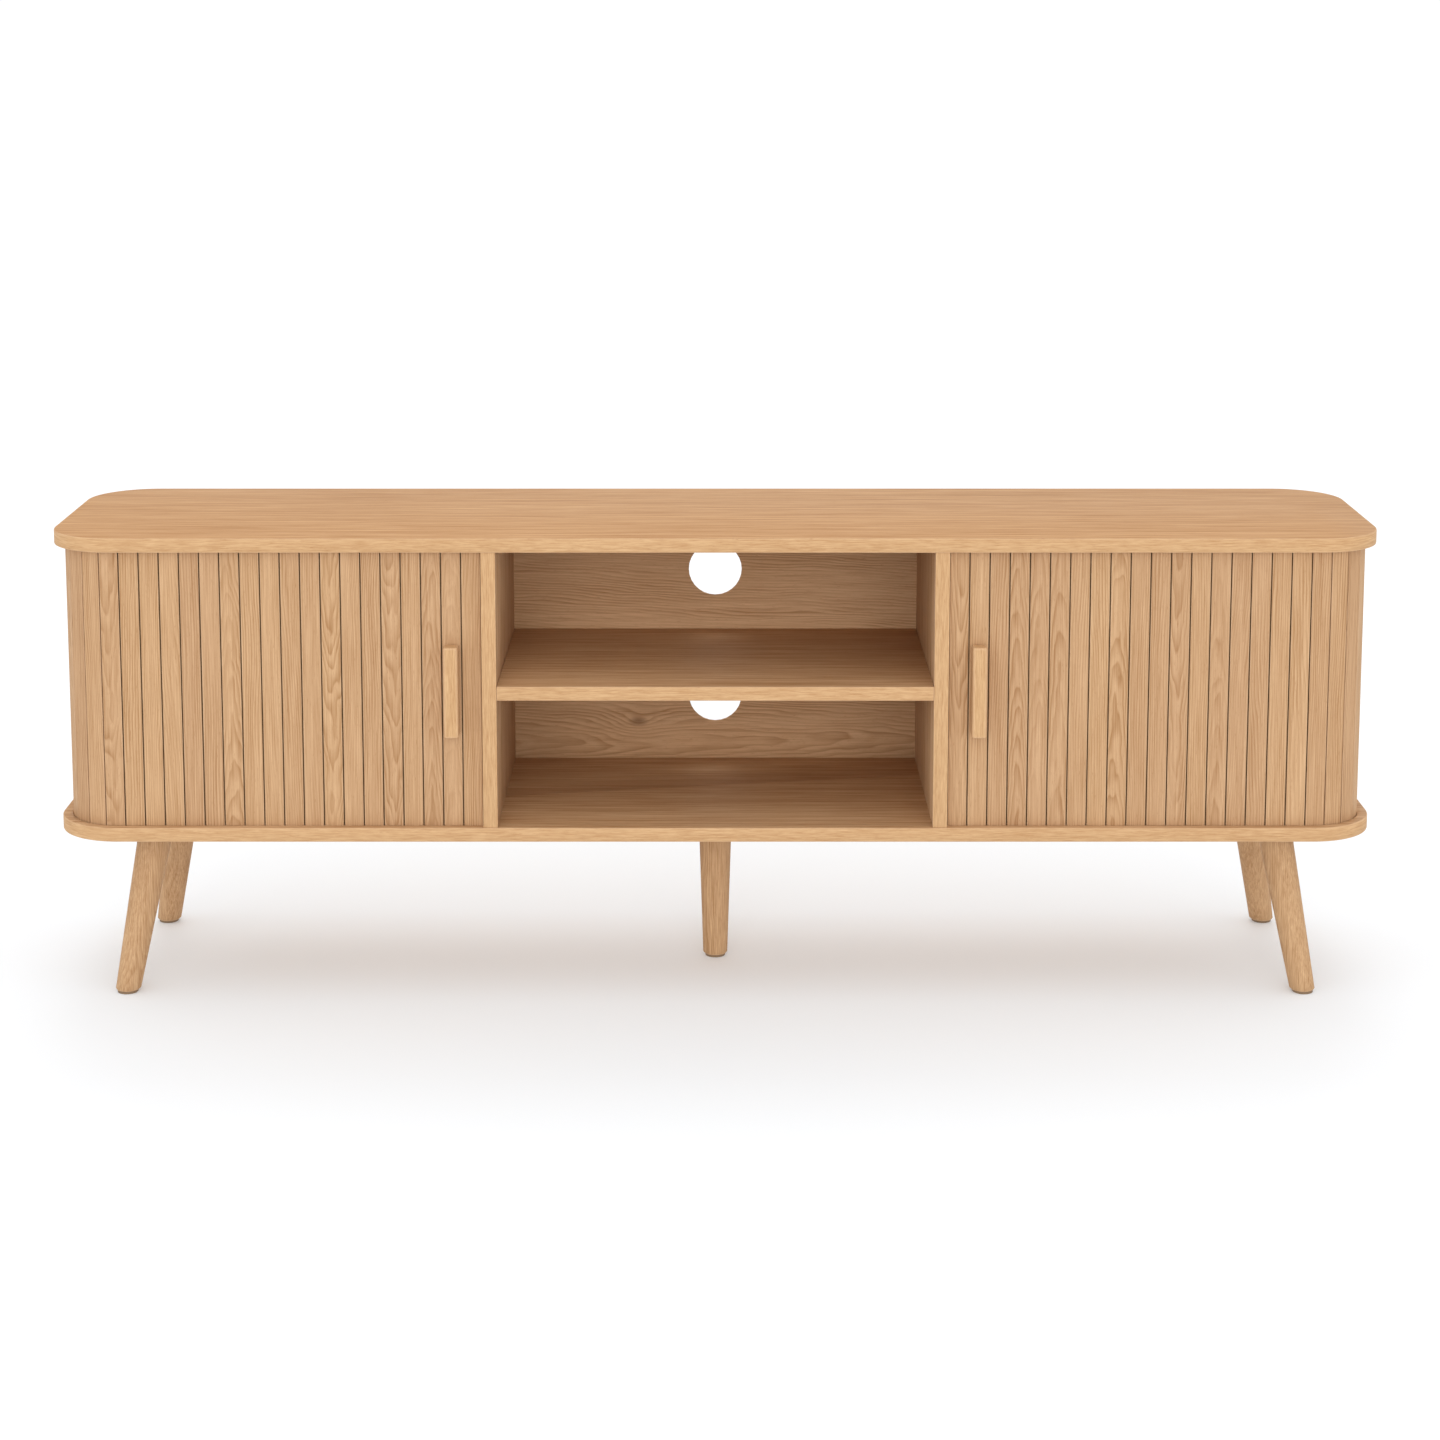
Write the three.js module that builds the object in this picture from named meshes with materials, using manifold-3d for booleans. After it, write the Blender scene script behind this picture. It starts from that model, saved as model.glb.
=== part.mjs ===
// Media cabinet on five round legs: two rounded oak boards, an open centre bay with one shelf, and
// a tambour door on each side that runs round the corners and parks behind the back panel.
// Millimetres. X is the width, Y the depth (the front faces -Y), Z up. The origin is on the floor
// under the middle of the cabinet.

import * as THREE from 'three';
import Module from 'manifold-3d';
import { mergeVertices } from 'three/addons/utils/BufferGeometryUtils.js';

const wasm = await Module();
wasm.setup();

// ---- Driving dimensions -----------------------------------------------------------------------

// overall
const width = 1400;
const depth = 300;
const height = 500;
const legHeight = 175;
const boardThickness = 15;
const cornerRadius = 70;

// centre bay
const bayWidth = 458;
const bayShelfHeight = 137; // clear height under the bay shelf
const bayFrontSetback = 1.5; // dividers and shelf behind the front edge of the top
const cableHoleRadius = 30;
const cableHoleFromPanel = 74; // centre of a cable hole from the top or bottom panel

// tambour
const slatWidth = 20;
const slatGroove = 1; // open line between two slats, at their front
const slatThickness = 6;
const slatBackBevel = 1.2; // how far each slat narrows on each side towards its back
const canvasThickness = 0.6;
const curtainInset = 11; // from the edge of the top to the front of the slats
const grooveDepth = 5.5;
const leadRailThickness = 16;
const tailSlatCount = 2;

// handles
const handleWidth = 15;
const handleHeight = 97;
const handleDepth = 18;
const handleRound = 2;
const handleCentreHeight = 147; // above the floor of the cabinet

// back and ends
const backThickness = 3;
const coverThickness = 3;
const endPanelPastBend = 5; // how far an end panel runs on past the straight part of the side
const endPanelClearance = 2.4; // end panel to canvas

// side shelves
const sideShelfHeight = 137; // clear height under a side shelf
const sideShelfFrontSetback = 32;
const pinRadius = 2.5;
const pinLength = 15;
const pinBoreDepth = 8;
const pinFromShelfEdge = 37;

// legs
const legTopRadius = 18.7;
const legFootRadius = 13.4;
const footChamfer = 2;
const cornerLegInsetX = 100; // leg axis at the cabinet floor, from the end of the top
const cornerLegInsetY = 62; // and from its front or back edge
const legSplay = 30; // how far a corner foot stands out, along X and along Y
const glideRadius = 11;
const glideThickness = 3;
const plateSize = 56;
const plateRound = 6;
const plateThickness = 2;
const boltRadius = 4;
const boltInLeg = 28;
const boltInBoard = 9;

// clearances
const glueLine = 0.1; // between two pieces that are glued or screwed together
const slideGap = 0.4; // between the curtain and each wall of its groove
const stopGap = 0.5; // between a shut door and its divider, and a shelf and its wall
const slipFit = 0.3; // round a pin or a bolt, and at the bottom of its bore
const platePlay = 2; // between a bolt and the hole in its plate
const canvasJoin = 0.15; // half the slit between two stretches of canvas

// how finely round shapes are cut
const bendSteps = 10;
const turnedSides = 28;
const smallSides = 12;
const smallSteps = 3;
const cutPast = 1; // how far a cutter runs on past the face that it opens

// ---- Places worked out from them --------------------------------------------------------------

const floorTop = legHeight + boardThickness;
const ceiling = height - boardThickness;
const frontEdge = -depth / 2;

const dividerInner = bayWidth / 2;
const dividerOuter = dividerInner + boardThickness;
const pitch = slatWidth + slatGroove;

// the line that the front of the slats follows, on the side x > 0
const bendX = width / 2 - cornerRadius;
const bendY = depth / 2 - cornerRadius;
const faceRadius = cornerRadius - curtainInset;
const bendLength = (Math.PI / 2) * faceRadius;
const trackStart = dividerOuter + stopGap;
const frontRun = bendX - trackStart;
const sideRun = 2 * bendY;
const frontBendEnd = frontRun + bendLength;
const rearBendStart = frontBendEnd + sideRun;
const rearBendEnd = rearBendStart + bendLength;
const trackEnd = rearBendEnd + frontRun;

// a straight slat cuts across the bend, so its middle lies this far inside the line
const bendSag = faceRadius * (1 - Math.cos(slatWidth / 2 / faceRadius));
const curtainThickness = slatThickness + canvasThickness;
const grooveInner = curtainThickness + bendSag + slideGap;
const frontFaceY = frontEdge + curtainInset;
const backRearY = bendY + faceRadius - grooveInner - glueLine;
const backFrontY = backRearY - backThickness;
const coverFrontY = bendY + faceRadius + slideGap + glueLine;
const endPanelOuter = bendX + faceRadius - curtainThickness - endPanelClearance;
const endPanelInner = endPanelOuter - boardThickness;
const endPanelHalfDepth = bendY + endPanelPastBend;
const slatBottom = floorTop - grooveDepth + slipFit;
const slatTop = ceiling + grooveDepth - slipFit;

// slats are numbered from the divider: 1 is the lead rail, 2 carries the handle
const gripSlat = 2;
const lastFrontSlat = Math.floor(frontRun / pitch);
const lastFrontBendSlat = Math.ceil(frontBendEnd / pitch);
const lastSideSlat = Math.floor(rearBendStart / pitch);
const lastRearBendSlat = Math.ceil(rearBendEnd / pitch);
const lastSlat = lastRearBendSlat + tailSlatCount;

const sides = [['left', -1], ['right', 1]];
const ends = [['front', -1], ['back', 1]];

// ---- Finishes ---------------------------------------------------------------------------------

const finish = (color, roughness, metalness = 0) =>
  new THREE.MeshStandardMaterial({ color, roughness, metalness });

const oakBoard = finish(0xc9a87e, 0.55);
const oakSlat = finish(0xc4a079, 0.55);
const solidOak = finish(0xc8a67c, 0.5);
const oakBack = finish(0xb8966c, 0.6);
const zincSteel = finish(0xb4b6b8, 0.4, 1);
const blackSteel = finish(0x2b2b2c, 0.5, 0.8);
const nylon = finish(0x3a332c, 0.6);

// ---- Helpers ----------------------------------------------------------------------------------

const cabinet = new THREE.Group();

function add(name, geometry, material) {
  const mesh = new THREE.Mesh(geometry, material);
  mesh.name = name;
  cabinet.add(mesh);
}

// A board with square edges between two corners.
function board(x0, x1, y0, y1, z0, z1) {
  const geometry = new THREE.BoxGeometry(Math.abs(x1 - x0), y1 - y0, z1 - z0);
  return geometry.translate((x0 + x1) / 2, (y0 + y1) / 2, (z0 + z1) / 2);
}

// An outline seen from above, given as Vector2 points or a Shape, carried up from z0 to z1.
function upright(outline, z0, z1, curveSegments = bendSteps) {
  const shape = Array.isArray(outline) ? new THREE.Shape(outline) : outline;
  const options = { depth: z1 - z0, bevelEnabled: false, curveSegments };
  return new THREE.ExtrudeGeometry(shape, options).translate(0, 0, z0);
}

// A rectangle with round corners, centred on (x, y).
function roundedRectangle(x, y, sizeX, sizeY, radius) {
  const halfX = sizeX / 2 - radius;
  const halfY = sizeY / 2 - radius;
  const shape = new THREE.Shape();
  shape.absarc(x + halfX, y - halfY, radius, -Math.PI / 2, 0);
  shape.absarc(x + halfX, y + halfY, radius, 0, Math.PI / 2);
  shape.absarc(x - halfX, y + halfY, radius, Math.PI / 2, Math.PI);
  shape.absarc(x - halfX, y - halfY, radius, Math.PI, Math.PI * 1.5);
  shape.closePath();
  return shape;
}

// A turned solid about a vertical axis through the origin, from [radius, z] pairs, bottom first.
function turned(profile, sideCount) {
  const points = profile.map(([radius, z]) => new THREE.Vector2(radius, z));
  return new THREE.LatheGeometry(points, sideCount).rotateX(Math.PI / 2);
}

// A cutter for a blind round hole that opens at the origin and runs up.
function boreTool(radius, boreDepth) {
  const profile = [[0, -cutPast], [radius, -cutPast], [radius, boreDepth], [0, boreDepth]];
  return turned(profile, smallSides);
}

function toManifold(geometry) {
  const bare = geometry.clone();
  bare.deleteAttribute('normal');
  bare.deleteAttribute('uv');
  const merged = mergeVertices(bare, 1e-4);
  return new wasm.Manifold(new wasm.Mesh({
    numProp: 3,
    vertProperties: new Float32Array(merged.attributes.position.array),
    triVerts: new Uint32Array(merged.index.array),
  }));
}

function fromManifold(solid) {
  const mesh = solid.getMesh();
  const result = new THREE.BufferGeometry();
  result.setAttribute('position', new THREE.BufferAttribute(mesh.vertProperties, 3));
  result.setIndex(new THREE.BufferAttribute(mesh.triVerts, 1));
  result.computeVertexNormals();
  return result;
}

function cutFrom(geometry, cutters) {
  let solid = toManifold(geometry);
  for (const cutter of cutters) solid = solid.subtract(toManifold(cutter));
  return fromManifold(solid);
}

// ---- The line that a curtain follows ----------------------------------------------------------

// The point a distance u along the front of the slats from the divider, moved inwards by inset.
function trackPoint(side, u, inset = 0) {
  const radius = faceRadius - inset;
  let x;
  let y;
  if (u <= frontRun) {
    x = trackStart + u;
    y = -bendY - radius;
  } else if (u <= frontBendEnd) {
    const angle = (u - frontRun) / faceRadius;
    x = bendX + radius * Math.sin(angle);
    y = -bendY - radius * Math.cos(angle);
  } else if (u <= rearBendStart) {
    x = bendX + radius;
    y = -bendY + (u - frontBendEnd);
  } else if (u <= rearBendEnd) {
    const angle = (u - rearBendStart) / faceRadius;
    x = bendX + radius * Math.cos(angle);
    y = bendY + radius * Math.sin(angle);
  } else {
    x = bendX - (u - rearBendEnd);
    y = bendY + radius;
  }
  return new THREE.Vector2(side * x, y);
}

// The outline of the groove for one curtain, seen from above.
function grooveOutline(side) {
  const stops = [0];
  for (const start of [frontRun, rearBendStart]) {
    for (let i = 0; i <= bendSteps; i++) stops.push(start + (bendLength * i) / bendSteps);
  }
  stops.push(trackEnd);
  const outer = stops.map((u) => trackPoint(side, u, -slideGap));
  const inner = stops.map((u) => trackPoint(side, u, grooveInner));
  return [...outer, ...inner.reverse()];
}

// Slats first..last, bonded to their canvas: a comb seen from above.
function curtain(side, first, last) {
  const front = [trackPoint(side, (first - 1) * pitch + canvasJoin, slatThickness)];
  const back = [trackPoint(side, (first - 1) * pitch + canvasJoin, curtainThickness)];
  for (let i = first; i <= last; i++) {
    const a = trackPoint(side, (i - 1) * pitch + slatGroove / 2);
    const b = trackPoint(side, i * pitch - slatGroove / 2);
    const along = b.clone().sub(a).normalize();
    const inwards = new THREE.Vector2(-along.y, along.x).multiplyScalar(side);
    const behind = (point, shift, inset) =>
      point.clone().addScaledVector(along, shift).addScaledVector(inwards, inset);
    front.push(behind(a, slatBackBevel, slatThickness), a, b);
    front.push(behind(b, -slatBackBevel, slatThickness));
    back.push(behind(a, slatBackBevel, curtainThickness));
    back.push(behind(b, -slatBackBevel, curtainThickness));
  }
  front.push(trackPoint(side, last * pitch - canvasJoin, slatThickness));
  back.push(trackPoint(side, last * pitch - canvasJoin, curtainThickness));
  return upright([...front, ...back.reverse()], slatBottom, slatTop);
}

// ---- Boards -----------------------------------------------------------------------------------

const legPlaces = [['centre', 0, 0, 0, 0]];
for (const [endName, end] of ends) {
  for (const [sideName, side] of sides) {
    const x = side * (width / 2 - cornerLegInsetX);
    const y = end * (depth / 2 - cornerLegInsetY);
    legPlaces.push([`${endName}_${sideName}`, x, y, side * legSplay, end * legSplay]);
  }
}

function panelOutline() {
  return roundedRectangle(0, 0, width, depth, cornerRadius);
}

function topPanel() {
  const grooves = sides.map(([, side]) =>
    upright(grooveOutline(side), ceiling - cutPast, ceiling + grooveDepth));
  return cutFrom(upright(panelOutline(), ceiling, height), grooves);
}

function bottomPanel() {
  const grooves = sides.map(([, side]) =>
    upright(grooveOutline(side), floorTop - grooveDepth, floorTop + cutPast));
  const boltBores = legPlaces.map(([, x, y, splayX, splayY]) => {
    const lean = Math.hypot(splayX, splayY) * (boltInBoard / legHeight);
    const radius = boltRadius + slipFit + lean;
    return boreTool(radius, boltInBoard + slipFit).translate(x, y, legHeight);
  });
  return cutFrom(upright(panelOutline(), legHeight, floorTop), [...grooves, ...boltBores]);
}

// A hole for a side shelf's pin in the wall whose face is at x; into is 1 or -1, the way it runs.
function pinBore(x, y, z, into) {
  const bore = boreTool(pinRadius + slipFit, pinBoreDepth);
  return bore.rotateY((into * Math.PI) / 2).translate(x, y, z);
}

const sideShelfUnder = floorTop + sideShelfHeight;
const sideShelfFront = frontEdge + sideShelfFrontSetback;
const sideShelfBack = backFrontY - stopGap;
const pinZ = sideShelfUnder - pinRadius - glueLine;
const pinPlaces = [
  ['front', -endPanelHalfDepth + pinFromShelfEdge],
  ['back', endPanelHalfDepth - pinFromShelfEdge],
];

function divider(side) {
  const panel = board(side * dividerInner, side * dividerOuter, frontEdge + bayFrontSetback,
    backFrontY - glueLine, floorTop + glueLine, ceiling - glueLine);
  return cutFrom(panel, pinPlaces.map(([, y]) => pinBore(side * dividerOuter, y, pinZ, -side)));
}

function endPanel(side) {
  const panel = board(side * endPanelInner, side * endPanelOuter, -endPanelHalfDepth,
    endPanelHalfDepth, floorTop + glueLine, ceiling - glueLine);
  return cutFrom(panel, pinPlaces.map(([, y]) => pinBore(side * endPanelInner, y, pinZ, side)));
}

// A side shelf; its outer corners are rounded to follow the curtain round the bends.
function sideShelf(side) {
  const top = sideShelfUnder + boardThickness;
  const blank = board(side * (dividerOuter + stopGap), side * (endPanelInner - stopGap),
    sideShelfFront, sideShelfBack, sideShelfUnder, top);
  const radius = faceRadius - grooveInner - stopGap;
  const inside = roundedRectangle(0, 0, 2 * (bendX + radius), 2 * (bendY + radius), radius);
  const limit = upright(inside, sideShelfUnder - cutPast, top + cutPast);
  return fromManifold(toManifold(blank).intersect(toManifold(limit)));
}

function bayShelf() {
  const under = floorTop + bayShelfHeight;
  return board(-dividerInner + glueLine, dividerInner - glueLine, frontEdge + bayFrontSetback,
    backFrontY - glueLine, under, under + boardThickness);
}

function backPanel() {
  const panel = board(-bendX, bendX, backFrontY, backRearY, floorTop + glueLine, ceiling - glueLine);
  const holes = [floorTop + cableHoleFromPanel, ceiling - cableHoleFromPanel].map((z) => {
    const hole = turned([[0, -backThickness], [cableHoleRadius, -backThickness],
      [cableHoleRadius, backThickness], [0, backThickness]], turnedSides);
    const middleY = (backFrontY + backRearY) / 2;
    return hole.rotateX(Math.PI / 2).translate(0, middleY, z);
  });
  return cutFrom(panel, holes);
}

add('top_panel', topPanel(), oakBoard);
add('bottom_panel', bottomPanel(), oakBoard);
add('centre_shelf', bayShelf(), oakBoard);
add('back_panel', backPanel(), oakBack);

for (const [sideName, side] of sides) {
  add(`${sideName}_divider`, divider(side), oakBoard);
  add(`${sideName}_end_panel`, endPanel(side), oakBoard);

  add(`${sideName}_shelf`, sideShelf(side), oakBoard);

  // behind the back panel: a spacer that ends the pocket, and the cover that closes it
  const spacer = board(side * dividerInner, side * dividerOuter, backRearY + glueLine,
    coverFrontY - glueLine, floorTop + glueLine, ceiling - glueLine);
  add(`${sideName}_pocket_spacer`, spacer, oakBoard);
  const cover = board(side * dividerInner, side * bendX, coverFrontY,
    coverFrontY + coverThickness, floorTop + glueLine, ceiling - glueLine);
  add(`${sideName}_rear_cover`, cover, oakBack);
}

// ---- Shelf pins -------------------------------------------------------------------------------

function shelfPin(x, y, into) {
  const inWall = pinBoreDepth - slipFit;
  const pin = turned([[0, inWall - pinLength], [pinRadius, inWall - pinLength], [pinRadius, inWall],
    [0, inWall]], smallSides);
  return pin.rotateY((into * Math.PI) / 2).translate(x, y, pinZ);
}

for (const [sideName, side] of sides) {
  for (const [endName, y] of pinPlaces) {
    const inner = shelfPin(side * dividerOuter, y, -side);
    const outer = shelfPin(side * endPanelInner, y, side);
    add(`${sideName}_${endName}_inner_shelf_pin`, inner, zincSteel);
    add(`${sideName}_${endName}_outer_shelf_pin`, outer, zincSteel);
  }
}

// ---- Tambour doors ----------------------------------------------------------------------------

// The lead rail is the first slat with a stiffener behind it, which clears the two boards.
function leadRail(side) {
  const face = frontFaceY;
  const slatBack = face + slatThickness;
  const railBack = face + leadRailThickness;
  const low = floorTop + stopGap;
  const high = ceiling - stopGap;
  const section = [[face, slatBottom], [slatBack, slatBottom], [slatBack, low], [railBack, low],
    [railBack, high], [slatBack, high], [slatBack, slatTop], [face, slatTop]];
  const shape = new THREE.Shape(section.map(([y, z]) => new THREE.Vector2(y, z)));
  const rail = new THREE.ExtrudeGeometry(shape, { depth: slatWidth, bevelEnabled: false });
  // the section was drawn in (Y, Z): turn its plane upright, and its depth along X
  const intoPlace = new THREE.Matrix4().makeBasis(
    new THREE.Vector3(0, 1, 0), new THREE.Vector3(0, 0, 1), new THREE.Vector3(1, 0, 0));
  const start = trackStart + slatGroove / 2;
  return rail.applyMatrix4(intoPlace).translate(side > 0 ? start : -start - slatWidth, 0, 0);
}

// A plain bar with rounded edges, screwed to the face of the grip slat.
function handle(side) {
  const outline = roundedRectangle(0, 0, handleWidth - handleRound, handleHeight - handleRound,
    handleRound);
  const bar = new THREE.ExtrudeGeometry(outline, {
    depth: handleDepth - handleRound,
    bevelThickness: handleRound / 2,
    bevelSize: handleRound / 2,
    bevelSegments: 2,
    curveSegments: 2,
  });
  const x = side * (trackStart + (gripSlat - 0.5) * pitch);
  const slatSide = frontFaceY - glueLine - handleRound / 2;
  return bar.rotateX(Math.PI / 2).translate(x, slatSide, floorTop + handleCentreHeight);
}

for (const [sideName, side] of sides) {
  add(`${sideName}_lead_rail`, leadRail(side), oakSlat);
  add(`${sideName}_grip_slat`, curtain(side, gripSlat, gripSlat), oakSlat);
  add(`${sideName}_handle`, handle(side), solidOak);
  add(`${sideName}_front_curtain`, curtain(side, gripSlat + 1, lastFrontSlat), oakSlat);
  const frontCorner = curtain(side, lastFrontSlat + 1, lastFrontBendSlat);
  add(`${sideName}_front_corner_curtain`, frontCorner, oakSlat);
  const sideStretch = curtain(side, lastFrontBendSlat + 1, lastSideSlat);
  add(`${sideName}_side_curtain`, sideStretch, oakSlat);
  const rearCorner = curtain(side, lastSideSlat + 1, lastRearBendSlat);
  add(`${sideName}_rear_corner_curtain`, rearCorner, oakSlat);
  add(`${sideName}_tail_slats`, curtain(side, lastRearBendSlat + 1, lastSlat), oakSlat);
}

// ---- Legs -------------------------------------------------------------------------------------

// Leans a solid that stands at the origin so that it passes through (x, y) at the cabinet's floor.
function lean(geometry, x, y, splayX, splayY) {
  const slopeX = -splayX / legHeight;
  const slopeY = -splayY / legHeight;
  const shear = new THREE.Matrix4().set(
    1, 0, slopeX, x - slopeX * legHeight,
    0, 1, slopeY, y - slopeY * legHeight,
    0, 0, 1, 0,
    0, 0, 0, 1);
  return geometry.applyMatrix4(shear);
}

const plateUnder = legHeight - glueLine - plateThickness;
const legTop = plateUnder - glueLine;
const legBottom = glideThickness + glueLine;
const boltBottom = legTop - boltInLeg;

function leg() {
  const bore = boltRadius + slipFit;
  return turned([
    [0, legBottom],
    [legFootRadius - footChamfer, legBottom],
    [legFootRadius, legBottom + footChamfer],
    [legTopRadius, legTop],
    [bore, legTop],
    [bore, boltBottom - slipFit],
    [0, boltBottom - slipFit],
  ], turnedSides);
}

function hangerBolt() {
  const top = legHeight + boltInBoard;
  return turned([[0, boltBottom], [boltRadius, boltBottom], [boltRadius, top], [0, top]], smallSides);
}

function legPlate(x, y) {
  const outline = roundedRectangle(x, y, plateSize, plateSize, plateRound);
  const hole = new THREE.Path();
  hole.absarc(x, y, boltRadius + platePlay, 0, Math.PI * 2);
  outline.holes.push(hole);
  return upright(outline, plateUnder, plateUnder + plateThickness, smallSteps);
}

function footGlide() {
  return turned([[0, 0], [glideRadius, 0], [glideRadius, glideThickness], [0, glideThickness]],
    turnedSides);
}

for (const [placeName, x, y, splayX, splayY] of legPlaces) {
  add(`${placeName}_leg`, lean(leg(), x, y, splayX, splayY), solidOak);
  add(`${placeName}_leg_bolt`, lean(hangerBolt(), x, y, splayX, splayY), zincSteel);
  add(`${placeName}_leg_plate`, legPlate(x, y), blackSteel);
  add(`${placeName}_foot_glide`, lean(footGlide(), x, y, splayX, splayY), nylon);
}

export default cabinet;
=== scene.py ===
# %% [markdown]
# # An oak media cabinet with tambour doors
# This lesson dresses a finished CAD model of a low cabinet: two oak boards with round corners, an
# open bay in the middle, and a curtain of thin slats on each side that slides round the corner.
# The CAD model fixes every size and place. Blender adds rounded edges, grain, light and a camera.

# %% Load the CAD frame
import math

import bmesh
import bpy
from mathutils import Matrix, Vector


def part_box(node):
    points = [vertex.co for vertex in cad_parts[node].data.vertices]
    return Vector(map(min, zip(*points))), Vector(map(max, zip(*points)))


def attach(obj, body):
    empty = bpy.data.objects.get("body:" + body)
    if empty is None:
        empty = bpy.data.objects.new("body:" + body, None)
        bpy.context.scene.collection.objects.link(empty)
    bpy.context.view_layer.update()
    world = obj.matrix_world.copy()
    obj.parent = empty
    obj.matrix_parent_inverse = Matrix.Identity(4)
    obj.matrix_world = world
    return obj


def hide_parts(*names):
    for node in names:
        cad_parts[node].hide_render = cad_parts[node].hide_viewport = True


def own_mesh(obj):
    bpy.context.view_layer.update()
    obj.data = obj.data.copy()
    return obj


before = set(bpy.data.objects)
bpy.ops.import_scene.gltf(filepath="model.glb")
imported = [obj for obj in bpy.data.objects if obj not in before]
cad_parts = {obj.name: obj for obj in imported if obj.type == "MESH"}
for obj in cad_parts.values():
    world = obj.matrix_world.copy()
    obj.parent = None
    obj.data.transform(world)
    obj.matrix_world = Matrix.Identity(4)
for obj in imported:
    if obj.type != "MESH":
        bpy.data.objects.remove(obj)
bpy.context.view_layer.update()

MM = 0.001
SIDES = (("left", -1), ("right", 1))

# %% [markdown]
# ## The camera
# The cabinet is seen from straight ahead, from a little over twice its height, with a long lens.
# Tilting a camera down makes upright lines lean together. A lens shift moves the frame down instead,
# as an architect's camera does, so that less tilt is needed and upright lines stay nearly upright.

# %% Place the camera
LENS = 72.05  # millimetres, as are sensors
SENSOR_WIDTH = 36
CAMERA_PLACE = (0, -3.0862, 1.0711)
CAMERA_TILT_DOWN = math.radians(8.315)
LENS_SHIFT = (0.0033, -0.22)

camera_data = bpy.data.cameras.new("camera")
camera_data.lens = LENS
camera_data.sensor_width = SENSOR_WIDTH
camera_data.shift_x, camera_data.shift_y = LENS_SHIFT
camera = bpy.data.objects.new("camera", camera_data)
camera.location = CAMERA_PLACE
camera.rotation_euler = (math.radians(90) - CAMERA_TILT_DOWN, 0, 0)
bpy.context.collection.objects.link(camera)
bpy.context.scene.camera = camera
print("camera at", CAMERA_PLACE, "lens", LENS)

# %% [markdown]
# ## Nodes in one line
# A material or a Geometry Nodes tree is a list of nodes with settings and links. One small helper
# makes a node, sets its properties, fills its inputs and gives the output that the next node needs,
# so a node takes a line or two. Two kinds turn up again and again: Math, and Map Range, which carries
# a value from one range to another and holds it at the ends. That turns smooth noise into lines with
# soft edges. Colours are written as the hex values that a colour picker shows; shaders need them as
# linear light.

# %% Helpers for nodes and colours
MATHS = "ShaderNodeMath"
VECTORS = "ShaderNodeVectorMath"
RANGE = "ShaderNodeMapRange"  # its inputs are a value, from low, from high, to low and to high


def linear(hex_colour):
    """An sRGB hex colour as linear RGBA."""
    values = [int(hex_colour[i : i + 2], 16) / 255 for i in (1, 3, 5)]
    curve = [v / 12.92 if v <= 0.04045 else ((v + 0.055) / 1.055) ** 2.4 for v in values]
    return (*curve, 1.0)


def add_node(tree, kind, inputs=(), output=0, **settings):
    """Adds a node of that kind and gives one of its outputs. inputs is a list in the order of the
    node's sockets, or maps a socket's name or number to what goes in: a value or another output."""
    node = tree.nodes.new(kind)
    for key, value in settings.items():
        setattr(node, key, value)
    for key, value in inputs.items() if isinstance(inputs, dict) else enumerate(inputs):
        if isinstance(value, bpy.types.NodeSocket):
            tree.links.new(value, node.inputs[key])
        else:
            node.inputs[key].default_value = value
    return node.outputs[output] if node.outputs else None


def new_material(name):
    """An empty node material and its Principled shader."""
    material = bpy.data.materials.new(name)
    material.use_nodes = True
    return material, material.node_tree, material.node_tree.nodes["Principled BSDF"]


print("white is", linear("#ffffff"))

# %% [markdown]
# ## The studio
# Catalogue pictures of furniture are taken on a white sweep under very large soft lights. The
# sweep is translucent and lit a little from below, so it burns out to white and keeps only a pale,
# neutral shadow. A white world lights everything evenly. It is brightest at the horizon, so that it
# meets the sweep without a line. A low, broad sun from the front is the fill light beside the
# camera: it reaches into the open bay. A second one overhead gives the top its brightness and the
# feet their shadows. A third looks down from behind and drops a faint patch of light through each
# cable hole.

# %% Floor, world and lights
FLOOR_SIZE = 60.0
SKY_LIGHT = 0.895
HORIZON_LIGHT = 1.03
HORIZON_TOP, SKY_BOTTOM = 0.06, 0.5  # sines of angles up from the horizon
SWEEP_LIGHT = 0.19
SWEEP_COLOUR = "#dcdfe2"
WHITE = (1, 1, 1, 1)
FRONT_LIGHT = {"strength": 1.15, "spread": 44, "height": 10}
TOP_LIGHT = {"strength": 0.65, "spread": 110, "height": 85}
REAR_LIGHT = {"strength": 0.35, "spread": 28, "height": 125}

scene = bpy.context.scene
scene.view_settings.view_transform = "Standard"

floor_mesh = bpy.data.meshes.new("floor")
half = FLOOR_SIZE / 2
corners = [(-half, -half, 0), (half, -half, 0), (half, half, 0), (-half, half, 0)]
floor_mesh.from_pydata(corners, [], [(0, 1, 2, 3)])
floor = bpy.data.objects.new("floor", floor_mesh)
bpy.context.collection.objects.link(floor)

material, tree, shader = new_material("matt_white_sweep")
shader.inputs["Base Color"].default_value = linear(SWEEP_COLOUR)
shader.inputs["Roughness"].default_value = 0.9
shader.inputs["Specular IOR Level"].default_value = 0.1
shader.inputs["Emission Color"].default_value = WHITE
shader.inputs["Emission Strength"].default_value = SWEEP_LIGHT
floor_mesh.materials.append(material)

world = bpy.data.worlds.new("studio")
world.use_nodes = True
tree = world.node_tree
direction = add_node(tree, "ShaderNodeTexCoord", output="Generated")
climb = add_node(tree, "ShaderNodeSeparateXYZ", [direction], "Z")
glow = add_node(tree, RANGE, [climb, HORIZON_TOP, SKY_BOTTOM, HORIZON_LIGHT, SKY_LIGHT])
background = tree.nodes["Background"]
background.inputs["Color"].default_value = WHITE
tree.links.new(glow, background.inputs["Strength"])
scene.world = world


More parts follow.
